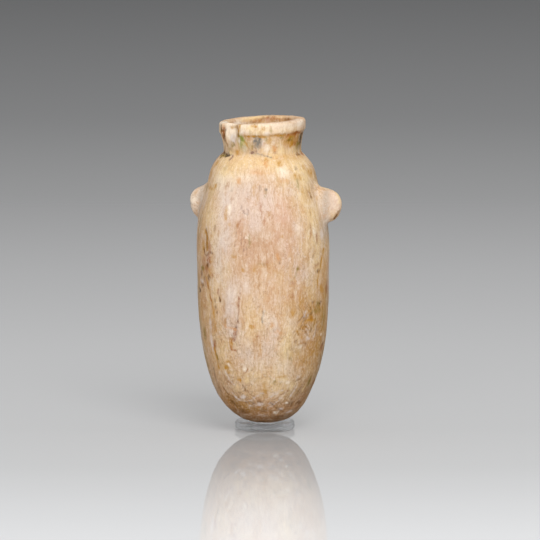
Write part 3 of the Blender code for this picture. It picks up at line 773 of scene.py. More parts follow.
# Narrow marks that follow a line: kind, half width (mm), strength, and turn and height of each point
strokes = [
    # scar of the lost flake
    ("tan", 0.50, 0.98, [(-40, 90.7), (-38, 89.3), (-38, 87.8)]),
    ("ochre", 0.36, 0.98, [(-36, 91.1), (-35, 90.2), (-36, 89.5)]),
    ("olive", 0.28, 0.75, [(-37, 88.9), (-38, 87.5)]),
    # rust and umber lines on the rim's end left of the fracture: partly brown deposit, partly painted shade
    # where the rim turns away from the light
    ("rust", 0.53, 1, [(-70, 90.1), (-71, 89.2), (-72, 88.5), (-71, 87.8), (-73, 86.5)]),
    ("umber", 0.28, 1, [(-70, 89.1), (-72, 88.2), (-71, 87.2), (-74, 85.6)]),
    ("umber", 0.28, 1, [(-67, 89.2), (-69, 87.8), (-70, 86.3), (-70, 85.3), (-66, 84.6)]),
    ("umber", 0.42, 1, [(-74, 89.9), (-74, 88.4)]),
    ("rust", 0.42, 1, [(-72, 88.2), (-77, 86.7)]),
    ("olive", 0.25, 0.57, [(-76, 84.2), (-79, 82.3)]),
    # neck, left and green stains
    ("soot", 0.36, 1, [(-71, 81.5), (-66, 82.0)]),
    ("umber", 0.45, 1, [(-88, 81.6), (-80, 82.2)]),
    ("plum", 0.31, 0.98, [(-50, 81.7), (-50, 81.1), (-51, 80.5)]),
    ("green", 0.25, 0.46, [(-35, 87.7), (-33, 86.8), (-32, 85.6)]),
    ("green", 0.34, 0.8, [(-35, 87.8), (-32, 87.0), (-30, 86.5)]),
    ("green", 0.28, 0.57, [(-35, 85.8), (-36, 84.7)]),
    ("ochre", 0.28, 0.75, [(-28, 86.0), (-26, 85.0), (-25, 83.9)]),
    ("slate", 0.36, 0.69, [(-12, 87.6), (-7, 87.0)]),
    ("plum", 0.31, 0.8, [(-23, 83.9), (-20, 83.3), (-17, 83.0)]),
    ("slate", 0.16, 0.69, [(-17, 83.0), (-10, 82.5), (-4, 82.3), (3, 82.1), (10, 81.6)]),
    # neck, middle and right
    # brown lines along the rim band's lower edge: partly stain, partly painted shade under the lip
    ("ochre", 0.31, 0.86, [(-26, 87.8), (-4, 87.9), (14, 88.1), (30, 88.2)]),
    ("russet", 0.39, 0.57, [(35, 88.2), (49, 88.4), (67, 88.5)]),
    ("umber", 0.25, 0.69, [(35, 86.4), (45, 86.1)]),
    ("moss", 0.50, 1, [(68, 87.5), (72, 86.2), (74, 84.8)]),
    # shoulder
    ("ochre", 0.36, 0.69, [(-92, 80.3), (-86, 78.0), (-77, 75.7)]),
    # upper body, left
    ("olive", 0.36, 0.4, [(1, 72.3), (0, 70.6)]),
    ("plum", 0.20, 0.46, [(-22, 68.1), (-23, 67.1), (-20, 66.3), (-21, 65.6)]),
    ("plum", 0.17, 0.57, [(-18, 68.0), (-16, 66.6), (-17, 65.9)]),
    ("plum", 0.17, 0.57, [(-20, 66.3), (-16, 65.7)]),
    ("rust", 0.34, 0.4, [(-21, 64.9), (-24, 63.1), (-25, 62.4), (-22, 60.7)]),
    # upper body, right
    ("umber", 0.25, 0.86, [(53, 71.6), (55, 70.9), (55, 69.6)]),
    ("rust", 0.22, 0.69, [(46, 62.7), (46, 60.7), (45, 58.8)]),
    # lugs
    ("cream", 0.36, 0.69, [(74, 72.1), (76, 71.4), (73, 69.7), (72, 67.8)]),
    ("umber", 0.28, 0.98, [(72, 62.9), (72, 63.5), (72, 64.6), (72, 65.6)]),
    # left side
    ("umber", 0.45, 1, [(-61, 60.4), (-58, 58.0), (-58, 55.0)]),
    ("ochre", 0.36, 0.69, [(-62, 60.2), (-58, 58.0), (-58, 54.5)]),
    ("umber", 0.28, 1, [(-63, 54.3), (-62, 53.3), (-59, 52.9), (-55, 53.4)]),
    ("rust", 0.28, 1, [(-56, 52.9), (-57, 51.3)]),
    ("rust", 0.31, 1, [(-54, 52.4), (-54, 50.7)]),
    ("ochre", 0.34, 0.8, [(-60, 46.4), (-58, 44.6), (-56, 42.7), (-54, 40.8), (-52, 38.8), (-50, 36.2)]),
    ("ochre", 0.34, 0.69, [(-50, 36.2), (-49, 33.9), (-49, 30.9)]),
    ("rust", 0.22, 0.86, [(-57, 43.9), (-54, 41.1), (-53, 38.8)]),
    ("rust", 0.31, 0.86, [(-44, 43.5), (-43, 41.7)]),
    ("umber", 0.31, 1, [(-43, 41.2), (-41, 39.9)]),
    ("orange", 0.39, 0.69, [(-38, 32.7), (-32, 32.2), (-27, 32.0)]),
    ("rust", 0.25, 0.86, [(-33, 26.8), (-32, 25.8), (-28, 25.7)]),
    ("ochre", 0.39, 1, [(-54, 25.3), (-53, 23.9), (-52, 22.4), (-52, 20.8), (-52, 19.6)]),
    ("olive", 0.28, 1, [(-52, 24.0), (-51, 22.5)]),
    # middle
    ("plum", 0.17, 0.37, [(-21, 45.0), (-22, 41.4), (-23, 37.9), (-24, 34.0), (-26, 30.7), (-30, 27.0)]),
    ("rust", 0.25, 0.46, [(-22, 43.2), (-23, 39.0)]),
    ("ivory", 0.17, 0.57, [(-18, 59.8), (-14, 58.8)]),
    ("ivory", 0.17, 0.57, [(-14, 59.9), (-17, 58.8)]),
    ("olive", 0.25, 0.57, [(-13, 59.7), (-13, 56.2)]),
    ("plum", 0.14, 0.46, [(-21, 60.7), (-21, 56.4)]),
    ("plum", 0.14, 0.46, [(-18, 59.3), (-18, 53.8)]),
    ("plum", 0.13, 0.46, [(-15, 57.9), (-16, 52.1)]),
    ("plum", 0.13, 0.4, [(-25, 60.7), (-26, 56.6)]),
    ("rust", 0.14, 0.4, [(-10, 59.1), (-10, 54.5)]),
    ("ochre", 0.36, 0.23, [(2, 50.4), (10, 49.5), (15, 48.2)]),
    ("olive", 0.25, 0.46, [(30, 49.4), (27, 47.6), (23, 46.3)]),
    ("slate", 0.22, 0.52, [(-1, 37.5), (-2, 35.7), (-2, 33.6)]),
    # right side
    ("ochre", 0.39, 0.86, [(57, 48.0), (55, 45.7), (55, 43.6)]),
    ("ochre", 0.42, 0.98, [(65, 54.4), (62, 52.2), (60, 50.8), (59, 49.1)]),
    ("ochre", 0.28, 0.69, [(40, 34.5), (46, 34.0), (53, 33.9)]),
    ("ochre", 0.34, 0.8, [(30, 31.3), (33, 30.3), (36, 29.3)]),
    ("umber", 0.20, 0.64, [(31, 31.1), (34, 30.1)]),
    ("veil", 0.17, 0.63, [(38, 35.5), (40, 36.9)]),
    ("veil", 0.17, 0.63, [(40, 34.8), (43, 36.2)]),
    ("veil", 0.17, 0.57, [(36, 34.8), (38, 36.1)]),
    ("umber", 0.17, 0.64, [(37, 34.9), (39, 36.4)]),
    ("umber", 0.17, 0.64, [(39, 34.3), (42, 36.0)]),
    ("umber", 0.17, 0.57, [(34, 34.3), (37, 35.8)]),
    ("veil", 0.17, 0.57, [(41, 33.0), (46, 31.4)]),
    ("umber", 0.17, 0.64, [(40, 32.5), (46, 30.7)]),
    ("veil", 0.17, 0.57, [(40, 31.9), (45, 30.1)]),
    ("umber", 0.17, 0.64, [(39, 31.2), (45, 29.5)]),
    ("veil", 0.17, 0.57, [(38, 30.6), (44, 29.0)]),
    ("veil", 0.20, 0.52, [(55, 32.4), (53, 30.4), (50, 28.2)]),
    ("veil", 0.14, 0.34, [(43, 40.5), (49, 39.0)]),
    ("umber", 0.14, 0.34, [(33, 34.6), (38, 36.8), (42, 39.4)]),
    ("olive", 0.20, 0.46, [(47, 30.9), (50, 32.8), (54, 34.8)]),
    ("umber", 0.17, 0.57, [(33, 31.6), (36, 33.0)]),
    ("rust", 0.17, 0.55, [(30, 32.9), (35, 35.1)]),
    ("umber", 0.16, 0.52, [(44, 33.5), (48, 31.0)]),
    ("umber", 0.16, 0.46, [(39, 35.0), (37, 33.6), (40, 32.3)]),
    # foot
    ("umber", 0.34, 0.75, [(-62, 19.2), (-63, 15.5), (-60, 12.3)]),
    ("tan", 0.36, 0.57, [(-60, 14.7), (-56, 12.4)]),
    ("rust", 0.20, 0.69, [(-48, 18.6), (-44, 16.5), (-39, 15.2)]),
    ("veil", 0.20, 0.66, [(-42, 18.8), (-39, 16.4), (-33, 14.7)]),
    ("rust", 0.17, 0.69, [(-19, 13.1), (-13, 11.3), (-3, 10.3)]),
    ("veil", 0.17, 0.66, [(-40, 12.6), (-34, 10.9), (-24, 9.8)]),
    ("veil", 0.17, 0.6, [(-19, 10.2), (-10, 11.9), (-2, 12.9)]),
    ("umber", 0.17, 0.75, [(-52, 13.5), (-47, 11.8), (-37, 10.8)]),
    ("veil", 0.17, 0.66, [(1, 11.0), (10, 11.9), (18, 13.1)]),
    ("rust", 0.17, 0.69, [(14, 10.9), (22, 12.4), (29, 13.5)]),
    ("veil", 0.17, 0.66, [(32, 11.5), (37, 13.3), (39, 15.1)]),
    ("umber", 0.17, 0.75, [(36, 10.5), (42, 12.2), (45, 14.0)]),
    ("umber", 0.22, 1, [(-25, 15.2), (-23, 14.0), (-21, 13.5)]),
    ("rust", 0.25, 0.83, [(-17, 20.4), (-19, 19.2), (-23, 17.9)]),
    ("cream", 0.28, 0.69, [(53, 14.8), (51, 13.5), (50, 12.4)]),
    ("veil", 0.20, 0.66, [(4, 8.0), (13, 9.3), (20, 11.1)]),
    ("veil", 0.17, 0.66, [(8, 12.2), (16, 13.4), (22, 14.0)]),
    ("umber", 0.20, 0.75, [(7, 9.7), (16, 7.9), (31, 6.3)]),
]

# Patches left rough by the rasp: turn, height, half width, half height (mm), strength
raspPatches = [
    (43, 34.5, 6.5, 8, 1),
    (30, 24, 3, 5, 0.5),
    (-40, 12, 8, 7, 0.8),
    (0, 7, 9, 4, 0.6),
    (45, 12, 6, 6, 0.6),
    # these lie round the back
    (128, 16, 9, 8, 0.7),
    (154, 43, 5, 7, 0.6),
    (188, 66, 5, 6, 0.5),
    (214, 20, 8, 8, 0.7),
    (250, 42, 4, 8, 0.5),
]

# Deposit on the wall of the mouth, given as the firm-edged marks are
innerMarks = [
    ("ivory", -135, 90.2, 2.6, 0.8, 0.5),
    ("ivory", -123, 90, 2, 0.7, 0.5),
    ("cream", -152, 90.7, 2.9, 0.7, 0.6),
    ("cream", -168, 91.2, 2.6, 0.5, 0.6),
    ("cream", 167, 90.4, 1, 0.4, 0.5),
    ("cream", 178, 90.7, 8.5, 1.2, 0.5),
    ("orange", 163, 90.6, 6.5, 1, 0.45),
    ("rust", 159, 90.7, 5.9, 0.8, 0.2),
    ("rust", 174, 90.9, 2, 0.6, 0.3),
    ("rust", -160, 90, 1.1, 0.4, 0.5),
    ("umber", -161, 89.8, 2.3, 0.2, 0.3),
    ("russet", -170, 90.3, 1.5, 0.7, 0.45),
    ("umber", -176, 90.9, 0.5, 0.6, 0.42),
    ("rust", 175, 91, 1, 0.6, 0.58),
    ("umber", 172, 91.3, 0.5, 0.4, 0.52),
    ("cream", -180, 91.4, 0.5, 0.4, 0.6),
    ("pink", 174, 90.2, 0.7, 0.7, 0.6),
    ("rust", 163, 91.2, 0.8, 0.6, 0.49),
    ("russet", 155, 90.6, 1.3, 0.5, 0.46),
    ("cream", 149, 91.4, 0.8, 0.3, 0.5),
    ("umber", 133, 91, 1.8, 0.4, 0.52),
    ("rust", 123, 90.8, 1.6, 0.5, 0.49),
    ("orange", -146, 90.3, 2, 0.4, 0.35),
    ("umber", 161, 90.1, 1.6, 0.3, 0.42),
]

# Marks on the sides that the photograph doesn't show, strewn in the same manner: how many of each, and the
# limits that their sizes and places are drawn between
strewn = {
    "seed": 11,
    "turns": (88, 262),
    "washes": {
        "count": 52, "heights": (6, 82),
        "halfWidth": (1.5, 4.5), "halfHeight": (3, 11), "strength": (0.35, 0.7),
        "kinds": ["veil", "veil", "pink", "cream", "ochre", "tan", "ivory"]},
    "patches": {        # stained patches: a soft mark with a cluster of firm ones on it
        "count": 13, "heights": (6, 84),
        "halfWidth": (1.5, 3.5), "halfHeight": (3, 8), "strength": (0.3, 0.6),
        "kinds": ["ochre", "tan", "olive", "russet"]},
    "clusters": {
        "count": 8, "turnSpread": 5, "heightSpread": 3.5, "strength": (0.35, 0.8),
        "kinds": ["umber", "rust", "rust", "ochre", "tan", "olive"]},
    "spots": {
        "count": 90, "heights": (4, 91), "strength": (0.3, 0.6),
        "kinds": ["rust", "ochre", "ochre", "tan", "olive", "ivory", "ivory", "veil", "orange", "slate"]},
    "spotSize": (0.2, 0.65),
    "spotLength": (0.7, 3.5),        # times its size
    "strokes": {
        "count": 22, "heights": (10, 74), "length": (2, 11), "lean": (-9, 9), "bend": (-2, 2),
        "halfWidth": (0.12, 0.3), "strength": (0.25, 0.65),
        "kinds": ["ochre", "rust", "tan", "olive", "veil", "ivory"]},
}


def copyCadNode(nodeName, name):
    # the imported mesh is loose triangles, so the copy's doubles are merged first
    piece = bpy.data.objects.new(name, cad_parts[nodeName].data.copy())
    bpy.context.scene.collection.objects.link(piece)
    piece.data.materials.clear()
    pick(piece)
    bpy.ops.object.mode_set(mode="EDIT")
    bpy.ops.mesh.select_all(action="SELECT")
    bpy.ops.mesh.remove_doubles(threshold=vessel["merge"])
    bpy.ops.object.mode_set(mode="OBJECT")
    return piece


def vertexPlaces(obj):
    # across the front, toward it and up, in mm, for every vertex
    co = np.zeros(len(obj.data.vertices) * 3, np.float32)
    obj.data.vertices.foreach_get("co", co)
    co = co.reshape(-1, 3).astype(float) / mm
    return co @ np.array(acrossFront), co @ np.array(towardFront), co[:, 2]


def wanderAt(place):
    place = place / vessel["driftSize"]
    fine = noise.noise_vector(place * vessel["fineDriftRate"])
    return noise.noise_vector(place) + fine * vessel["fineDrift"]


def surfacePlaces(obj):
    # turn from the front in degrees, height and distance from the axis in mm, which wander a little
    across, toward, up = vertexPlaces(obj)
    noise.seed_set(vessel["driftSeed"])        # unseeded, the noise would change with every run
    drift = vessel["drift"] / mm
    wander = np.array([wanderAt(v.co) for v in obj.data.vertices])
    across = across + wander[:, 0] * drift
    up = up + wander[:, 2] * drift
    return np.degrees(np.arctan2(across, toward)), up, np.hypot(across, toward)


def sideways(turn, atTurn, radius):
    # distance round the surface from a turn, in mm
    return np.radians((turn - atTurn + 180) % 360 - 180) * radius


def ellipseNearness(places, turn, height, halfWidth, halfHeight):
    # 0 in the middle of a mark, 1 on its outline
    turns, heights, radii = places
    return (sideways(turns, turn, radii) / halfWidth) ** 2 + ((heights - height) / halfHeight) ** 2


def lineNearness(places, halfWidth, points):
    # 0 on the line, 1 on the outline of its width
    turns, heights, radii = places
    nearest = np.full(len(turns), 1e9)
    for (turnA, heightA), (turnB, heightB) in zip(points, points[1:]):
        aside = sideways(turns, turnA, radii)
        up = heights - heightA
        runAside = np.radians(turnB - turnA) * radii
        runUp = heightB - heightA
        share = np.clip((aside * runAside + up * runUp) / (runAside**2 + runUp**2), 0, 1)
        nearest = np.minimum(nearest, np.hypot(aside - share * runAside, up - share * runUp))
    return (nearest / halfWidth) ** 2


def washShare(places, turn, height, halfWidth, halfHeight, strength):
    # cover of a broad mark, soft all the way out
    return strength * np.exp(-ellipseNearness(places, turn, height, halfWidth, halfHeight))


def spotShare(places, turn, height, halfWidth, halfHeight, strength):
    # cover of a firm-edged mark
    return strength * np.exp(-ellipseNearness(places, turn, height, halfWidth, halfHeight) ** 2)


def strokeShare(places, halfWidth, strength, points):
    return strength * np.exp(-lineNearness(places, halfWidth, points))


def isInside(obj):
    # vertices of the hollow's wall: they face the axis, or lie on its round floor
    across, toward, up = vertexPlaces(obj)
    normals = np.zeros(len(across) * 3, np.float32)
    obj.data.vertices.foreach_get("normal", normals)
    normals = normals.reshape(-1, 3)
    radius = np.hypot(across, toward)
    outward = normals @ np.array(acrossFront) * across + normals @ np.array(towardFront) * toward
    facesAxis = outward / np.maximum(radius, 0.01) < hollow["wallFacing"]
    lowest, highest = hollow["floorHeights"]
    onFloor = (radius < hollow["floorRadius"]) & (up > lowest) & (up < highest)
    return (facesAxis & (up > hollow["wallStarts"])) | onFloor


def addClouds(name, size):
    texture = bpy.data.textures.new(name, "CLOUDS")
    texture.noise_scale = size
    texture.noise_depth = 3
    return texture


def roughen(obj, name, size, strength, stretch, group=""):
    # pushes the surface in and out by a cloud pattern, drawn out along the vessel by stretch
    bpy.ops.object.empty_add()
    guide = bpy.context.object
    guide.scale = (1, 1, stretch)
    bpy.context.view_layer.update()
    applyModifier(obj, "DISPLACE", texture=addClouds(name, size), texture_coords="OBJECT",
                  texture_coords_object=guide, strength=strength, mid_level=0.5, vertex_group=group)
    bpy.data.objects.remove(guide)


def weightGroup(obj, name, weights):
    group = obj.vertex_groups.new(name=name)
    for index in np.nonzero(weights > 0.01)[0]:
        group.add([int(index)], float(weights[index]), "REPLACE")
    return group.name


def cutScar(obj):
    # a wedge-shaped cutter takes the flake off, leaving a flat fracture with a step at its right
    bpy.ops.mesh.primitive_circle_add(vertices=len(scar["outline"]), radius=1, fill_type="NGON")
    cutter = bpy.context.object
    for vertex, (across, toward) in zip(cutter.data.vertices, scar["outline"]):
        vertex.co = acrossFront * across * mm + towardFront * toward * mm + Vector((0, 0, scar["from"]))
    bpy.ops.object.mode_set(mode="EDIT")
    bpy.ops.mesh.select_all(action="SELECT")
    bpy.ops.mesh.extrude_region_move(TRANSFORM_OT_translate={"value": (0, 0, scar["to"] - scar["from"])})
    bpy.ops.mesh.select_all(action="SELECT")
    bpy.ops.mesh.normals_make_consistent(inside=False)
    bpy.ops.object.mode_set(mode="OBJECT")
    applyModifier(obj, "BOOLEAN", operation="DIFFERENCE", object=cutter, solver="EXACT")
    bpy.data.objects.remove(cutter)


def furrowed(obj):
    # the furrows run over the body and neck, and nearly leave out the fresh fracture and the lugs
    across, toward, up = vertexPlaces(obj)
    turns = np.degrees(np.arctan2(across, toward))
    onScar = np.exp(-((turns - scar["turn"]) / scar["halfTurn"]) ** 4)
    onScar = onScar * np.clip((up - scar["starts"]) / scar["fade"], 0, 1)
    onLugs = np.clip((np.hypot(across, toward) - lugs["starts"]) / lugs["fade"], 0, 1)
    return 1 - np.maximum(onScar * scar["bare"], onLugs * lugs["bare"])


def lugRoots(obj):
    # 1 in the hollows where the lugs grow out of the wall, 0 away from them
    across, toward, up = vertexPlaces(obj)
    turns = np.degrees(np.arctan2(across, toward))
    radii = np.hypot(across, toward)
    halfOut, halfAside, halfUp = lugs["rootHalf"]
    weights = np.zeros(len(across))
    for turn in lugs["turns"]:
        out = (radii - lugs["root"]) / halfOut
        aside = sideways(turns, turn, radii) / halfAside
        above = (up - lugs["height"]) / halfUp
        weights = np.maximum(weights, np.exp(-out ** 2 - aside ** 4 - above ** 4))
    return weights


def relaxLugRoots(obj):
    applyModifier(obj, "SMOOTH", factor=0.5, iterations=lugs["rootRelax"],
                  vertex_group=weightGroup(obj, "lugRoots", lugRoots(obj)))


def strewMarks():
    # the same kinds of mark, placed at random round the back
    chance = np.random.RandomState(strewn["seed"])

    def within(limits):
        return chance.uniform(*limits)

    def strewSpot(kinds, turn, height, strength):
        size = within(strewn["spotSize"])
        kind = chance.choice(kinds)
        spots.append((kind, turn, height, size, size * within(strewn["spotLength"]), strength))

    wash = strewn["washes"]
    for _ in range(wash["count"]):
        washes.append((chance.choice(wash["kinds"]), within(strewn["turns"]), within(wash["heights"]),
                       within(wash["halfWidth"]), within(wash["halfHeight"]), within(wash["strength"])))
    patch, cluster = strewn["patches"], strewn["clusters"]
    for _ in range(patch["count"]):
        turn, height = within(strewn["turns"]), within(patch["heights"])
        washes.append((chance.choice(patch["kinds"]), turn, height, within(patch["halfWidth"]),
                       within(patch["halfHeight"]), within(patch["strength"])))
        for _ in range(cluster["count"]):
            strewSpot(cluster["kinds"], turn + chance.normal(0, cluster["turnSpread"]),
                      height + chance.normal(0, cluster["heightSpread"]), within(cluster["strength"]))
    spot = strewn["spots"]
    for _ in range(spot["count"]):
        strewSpot(spot["kinds"], within(strewn["turns"]), within(spot["heights"]), within(spot["strength"]))
    stroke = strewn["strokes"]
    for _ in range(stroke["count"]):
        turn, height = within(strewn["turns"]), within(stroke["heights"])
        length, lean = within(stroke["length"]), within(stroke["lean"])
        middle = (turn + lean * 0.5 + within(stroke["bend"]), height + length * 0.5)
        points = [(turn, height), middle, (turn + lean, height + length)]
        strokes.append((chance.choice(stroke["kinds"]), within(stroke["halfWidth"]),
                        within(stroke["strength"]), points))


def wearDepth(obj):
    # how deep each mark is eaten in, 0 to 1
    places = surfacePlaces(obj)
    depth = np.zeros(len(places[0]))
    for kind, *mark, strength in spots:
        eaten = stainAndShadeColors[kind][1] * strength
        if eaten:
            depth = np.maximum(depth, spotShare(places, *mark, eaten))
    for kind, halfWidth, strength, points in strokes:
        eaten = stainAndShadeColors[kind][1] * strength
        if eaten:
            depth = np.maximum(depth, strokeShare(places, halfWidth, eaten, points))
    depth[isInside(obj)] = 0
    return depth * np.clip((lugs["unpitted"] - places[2]) / lugs["fade"], 0, 1)


def thinInside(obj):
    # fewer triangles deep in the hollow, where it is dark
    dark = isInside(obj) & (vertexPlaces(obj)[2] < hollow["darkBelow"])
    pick(obj)
    bpy.ops.object.mode_set(mode="EDIT")
    bpy.ops.mesh.select_mode(type="VERT")
    bpy.ops.mesh.select_all(action="DESELECT")
    bpy.ops.object.mode_set(mode="OBJECT")
    obj.data.vertices.foreach_set("select", dark)
    bpy.ops.object.mode_set(mode="EDIT")
    bpy.ops.mesh.decimate(ratio=hollow["darkShare"])
    bpy.ops.object.mode_set(mode="OBJECT")


def makeVessel():
    piece = copyCadNode("alabaster_amphora", "carved_vessel")
    cutScar(piece)
    applyModifier(piece, "REMESH", mode="VOXEL", voxel_size=vessel["voxel"], use_smooth_shade=True)
    applyModifier(piece, "SMOOTH", factor=0.5, iterations=vessel["relax"])
    relaxLugRoots(piece)
    roughen(piece, "waviness", vessel["wavinessSize"], vessel["waviness"], vessel["wavinessLength"])
    roughen(piece, "toolMarks", vessel["toolMarkWidth"], vessel["toolMarks"], vessel["toolMarkLength"],
            weightGroup(piece, "furrowed", furrowed(piece)))
    roughen(piece, "grain", vessel["grainSize"], vessel["grain"], vessel["grainLength"])
    applyModifier(piece, "DISPLACE", strength=-vessel["deepest"], mid_level=0,
                  vertex_group=weightGroup(piece, "wear", wearDepth(piece)))
    thinInside(piece)
    piece.vertex_groups.clear()
    triangles = sum(len(face.vertices) - 2 for face in piece.data.polygons)
    print("vessel: vertices", len(piece.data.vertices), "triangles", triangles)
    return piece


def layMarks(obj, name, marks):
    # one colour attribute: the marks laid one over the other, with their joint cover as alpha
    count = len(obj.data.vertices)
    colors = np.tile(np.array(linearColor(vessel["unmarked"])), (count, 1))
    cover = np.zeros(count)
    for kind, weight in marks:
        color = np.array(linearColor(stainAndShadeColors[kind][0]))
        total = np.maximum(cover + weight - cover * weight, 1e-6)
        share = np.clip(weight / total, 0, 1)[:, None]
        colors = colors * (1 - share) + color * share
        cover = total
    colors[:, 3] = cover
    layer = obj.data.attributes.new(name, "FLOAT_COLOR", "POINT")
    layer.data.foreach_set("color", colors.astype(np.float32).ravel())


def paintStainsAndShade(obj):
    # the soft marks go into one attribute and the firm ones into another, and the rasped patches into a
    # third; both colour attributes carry painted shade beside the stains, and the soft one painted highlights
    # too
    places = surfacePlaces(obj)
    outer = np.where(isInside(obj), 0.0, 1.0)
    soft = [(kind, outer * washShare(places, *mark)) for kind, *mark in washes]
    # ash over the lug roots: painted shade in the hollows where the lugs grow out of the wall
    layMarks(obj, "tintsAndPaintedLight", soft + [("ash", lugRoots(obj) * lugs["rootShade"])])
    firm = [(kind, outer * spotShare(places, *mark)) for kind, *mark in spots]
    firm += [(kind, outer * strokeShare(places, *mark)) for kind, *mark in strokes]
    firm += [(kind, (1 - outer) * spotShare(places, *mark)) for kind, *mark in innerMarks]
    layMarks(obj, "stainsAndPaintedShade", firm)

    rough = np.zeros(len(outer))
    for mark in raspPatches:
        rough = np.maximum(rough, outer * spotShare(places, *mark))
    layer = obj.data.attributes.new("rasped", "FLOAT", "POINT")
    layer.data.foreach_set("value", rough.astype(np.float32))


# Alabaster, coloured from the ground up. Each layer: colour, grain across and along (mm), where its noise
# begins to show and is full, strength, and the heights (mm) between which it lies
stone = {
    "ground": "CFAA84",
    "clouds": [
        ("E4CA9E", 9, 14, 0.44, 0.60, 0.55, None),        # warm cream clouds
        ("BE8F68", 6, 11, 0.50, 0.64, 0.45, None),        # pinkish tan clouds
        ("DFCDC1", 4.5, 9, 0.50, 0.62, 0.55, (22, 78)),        # lilac-white crust on the body
        ("966A3C", 5, 5, 0.42, 0.58, 0.45, (-10, 12)),        # brown foot
    ],
    "mottle": [
        ("BE8856", 2.2, 3.0, 0.53, 0.64, 0.42, None),        # orange-tan mottling
        ("E8D5BF", 1.8, 2.8, 0.53, 0.64, 0.42, None),        # pale mottling
        ("AC7C55", 0.55, 0.8, 0.50, 0.62, 0.30, None),        # fine tan speckle
        ("F3E6D6", 0.5, 0.7, 0.52, 0.64, 0.28, None),        # fine pale speckle
        ("96682F", 0.8, 1.0, 0.52, 0.62, 0.38, (-10, 32)),        # rubbed dirt lower down
        ("EAD6C0", 0.7, 0.9, 0.54, 0.62, 0.46, (-10, 28)),        # pale flecks on the foot
        ("644420", 0.9, 0.8, 0.55, 0.63, 0.45, (-10, 10)),        # dark hollows between them
        ("74502E", 0.7, 1.5, 0.66, 0.72, 0.30, None),        # dark pits
    ],
    "streaks": [
        ("B98A5C", 1.5, 6.5, 0.51, 0.62, 0.30, None),        # broad tan brushing, run with the furrows
        ("EEDDCB", 1.3, 6, 0.52, 0.62, 0.29, None),        # broad pale brushing
        ("A0743E", 0.7, 4.2, 0.56, 0.66, 0.40, None),        # ochre dirt in the furrows
        ("F0E0CC", 0.6, 3.6, 0.56, 0.66, 0.28, None),        # rubbed pale edges between them
        ("9C7052", 0.45, 2.6, 0.58, 0.66, 0.30, (18, 74)),        # short brown scratches down the body
    ],
    # hair-thin lines: colour, grain across and along, half width as a share of the noise, strength, heights
    "scratches": [
        ("8F6238", 3.2, 5, 0.016, 0.40, None),        # brown veins
        ("F0DFC4", 1.4, 3.6, 0.026, 0.34, (11, 38)),        # pale scratches lower down
        ("A97E4E", 2.4, 3.4, 0.020, 0.40, (36, 76)),        # tan scratches higher up
    ],
    "crackle": [
        ("80582F", 1.9, 2.4, 0.024, 0.50, (-10, 36)),        # brown lines that run every way
        ("F0DDBE", 1.5, 1.3, 0.030, 0.50, (-10, 15)),        # pale ones on the foot
        ("68441E", 1.4, 1.2, 0.036, 0.65, (-10, 14)),        # and dark ones beside them
    ],
    # fine slanting scratches in the rasped patches: colour, lean (degrees), width and length (mm), strength
    "rasp": [
        ("765224", -34, 0.30, 2.6, 0.66),
        ("E6D2B0", -38, 0.28, 2.2, 0.30),
        ("7E5826", 41, 0.30, 2.0, 0.46),
        ("E6D3B6", 36, 0.26, 1.8, 0.24),
    ],
    "drift": (3 * mm, 3 * mm, 2 * mm),        # how far the patterns wander
    "driftSize": 9 * mm,
    "tube": 20 * mm,        # radius at which the furrows are laid, so that they follow the curve of the wall
    "wall": 19 * mm,        # and the rasp's scratches
    "fadeBelow": 5 * mm,        # soft ends of what lies between two heights
    "fadeAbove": 6 * mm,
    "lineCore": 0.15,        # share of a thin line's width at its full strength
    "lineAreas": (6, 8),        # grain across and along (mm) of the areas that have thin lines
    "level": (0.5, 0.85),        # how far the surface faces up or down where the streaks fade and are gone
    "tintOver": 0.25,        # share of the soft marks that lies over the streaks too
    "breakUp": (0.45, 1.3),        # least and most cover of the firm marks, broken by grain
    "roughness": (0.5, 0.75),        # in the furrows and on the ridges between them
    "ior": 1.52,
    "specular": 0.06,
    "relief": 0.19 * mm,
    "reliefStrength": 0.8,
    "poreShare": 0.5,
}


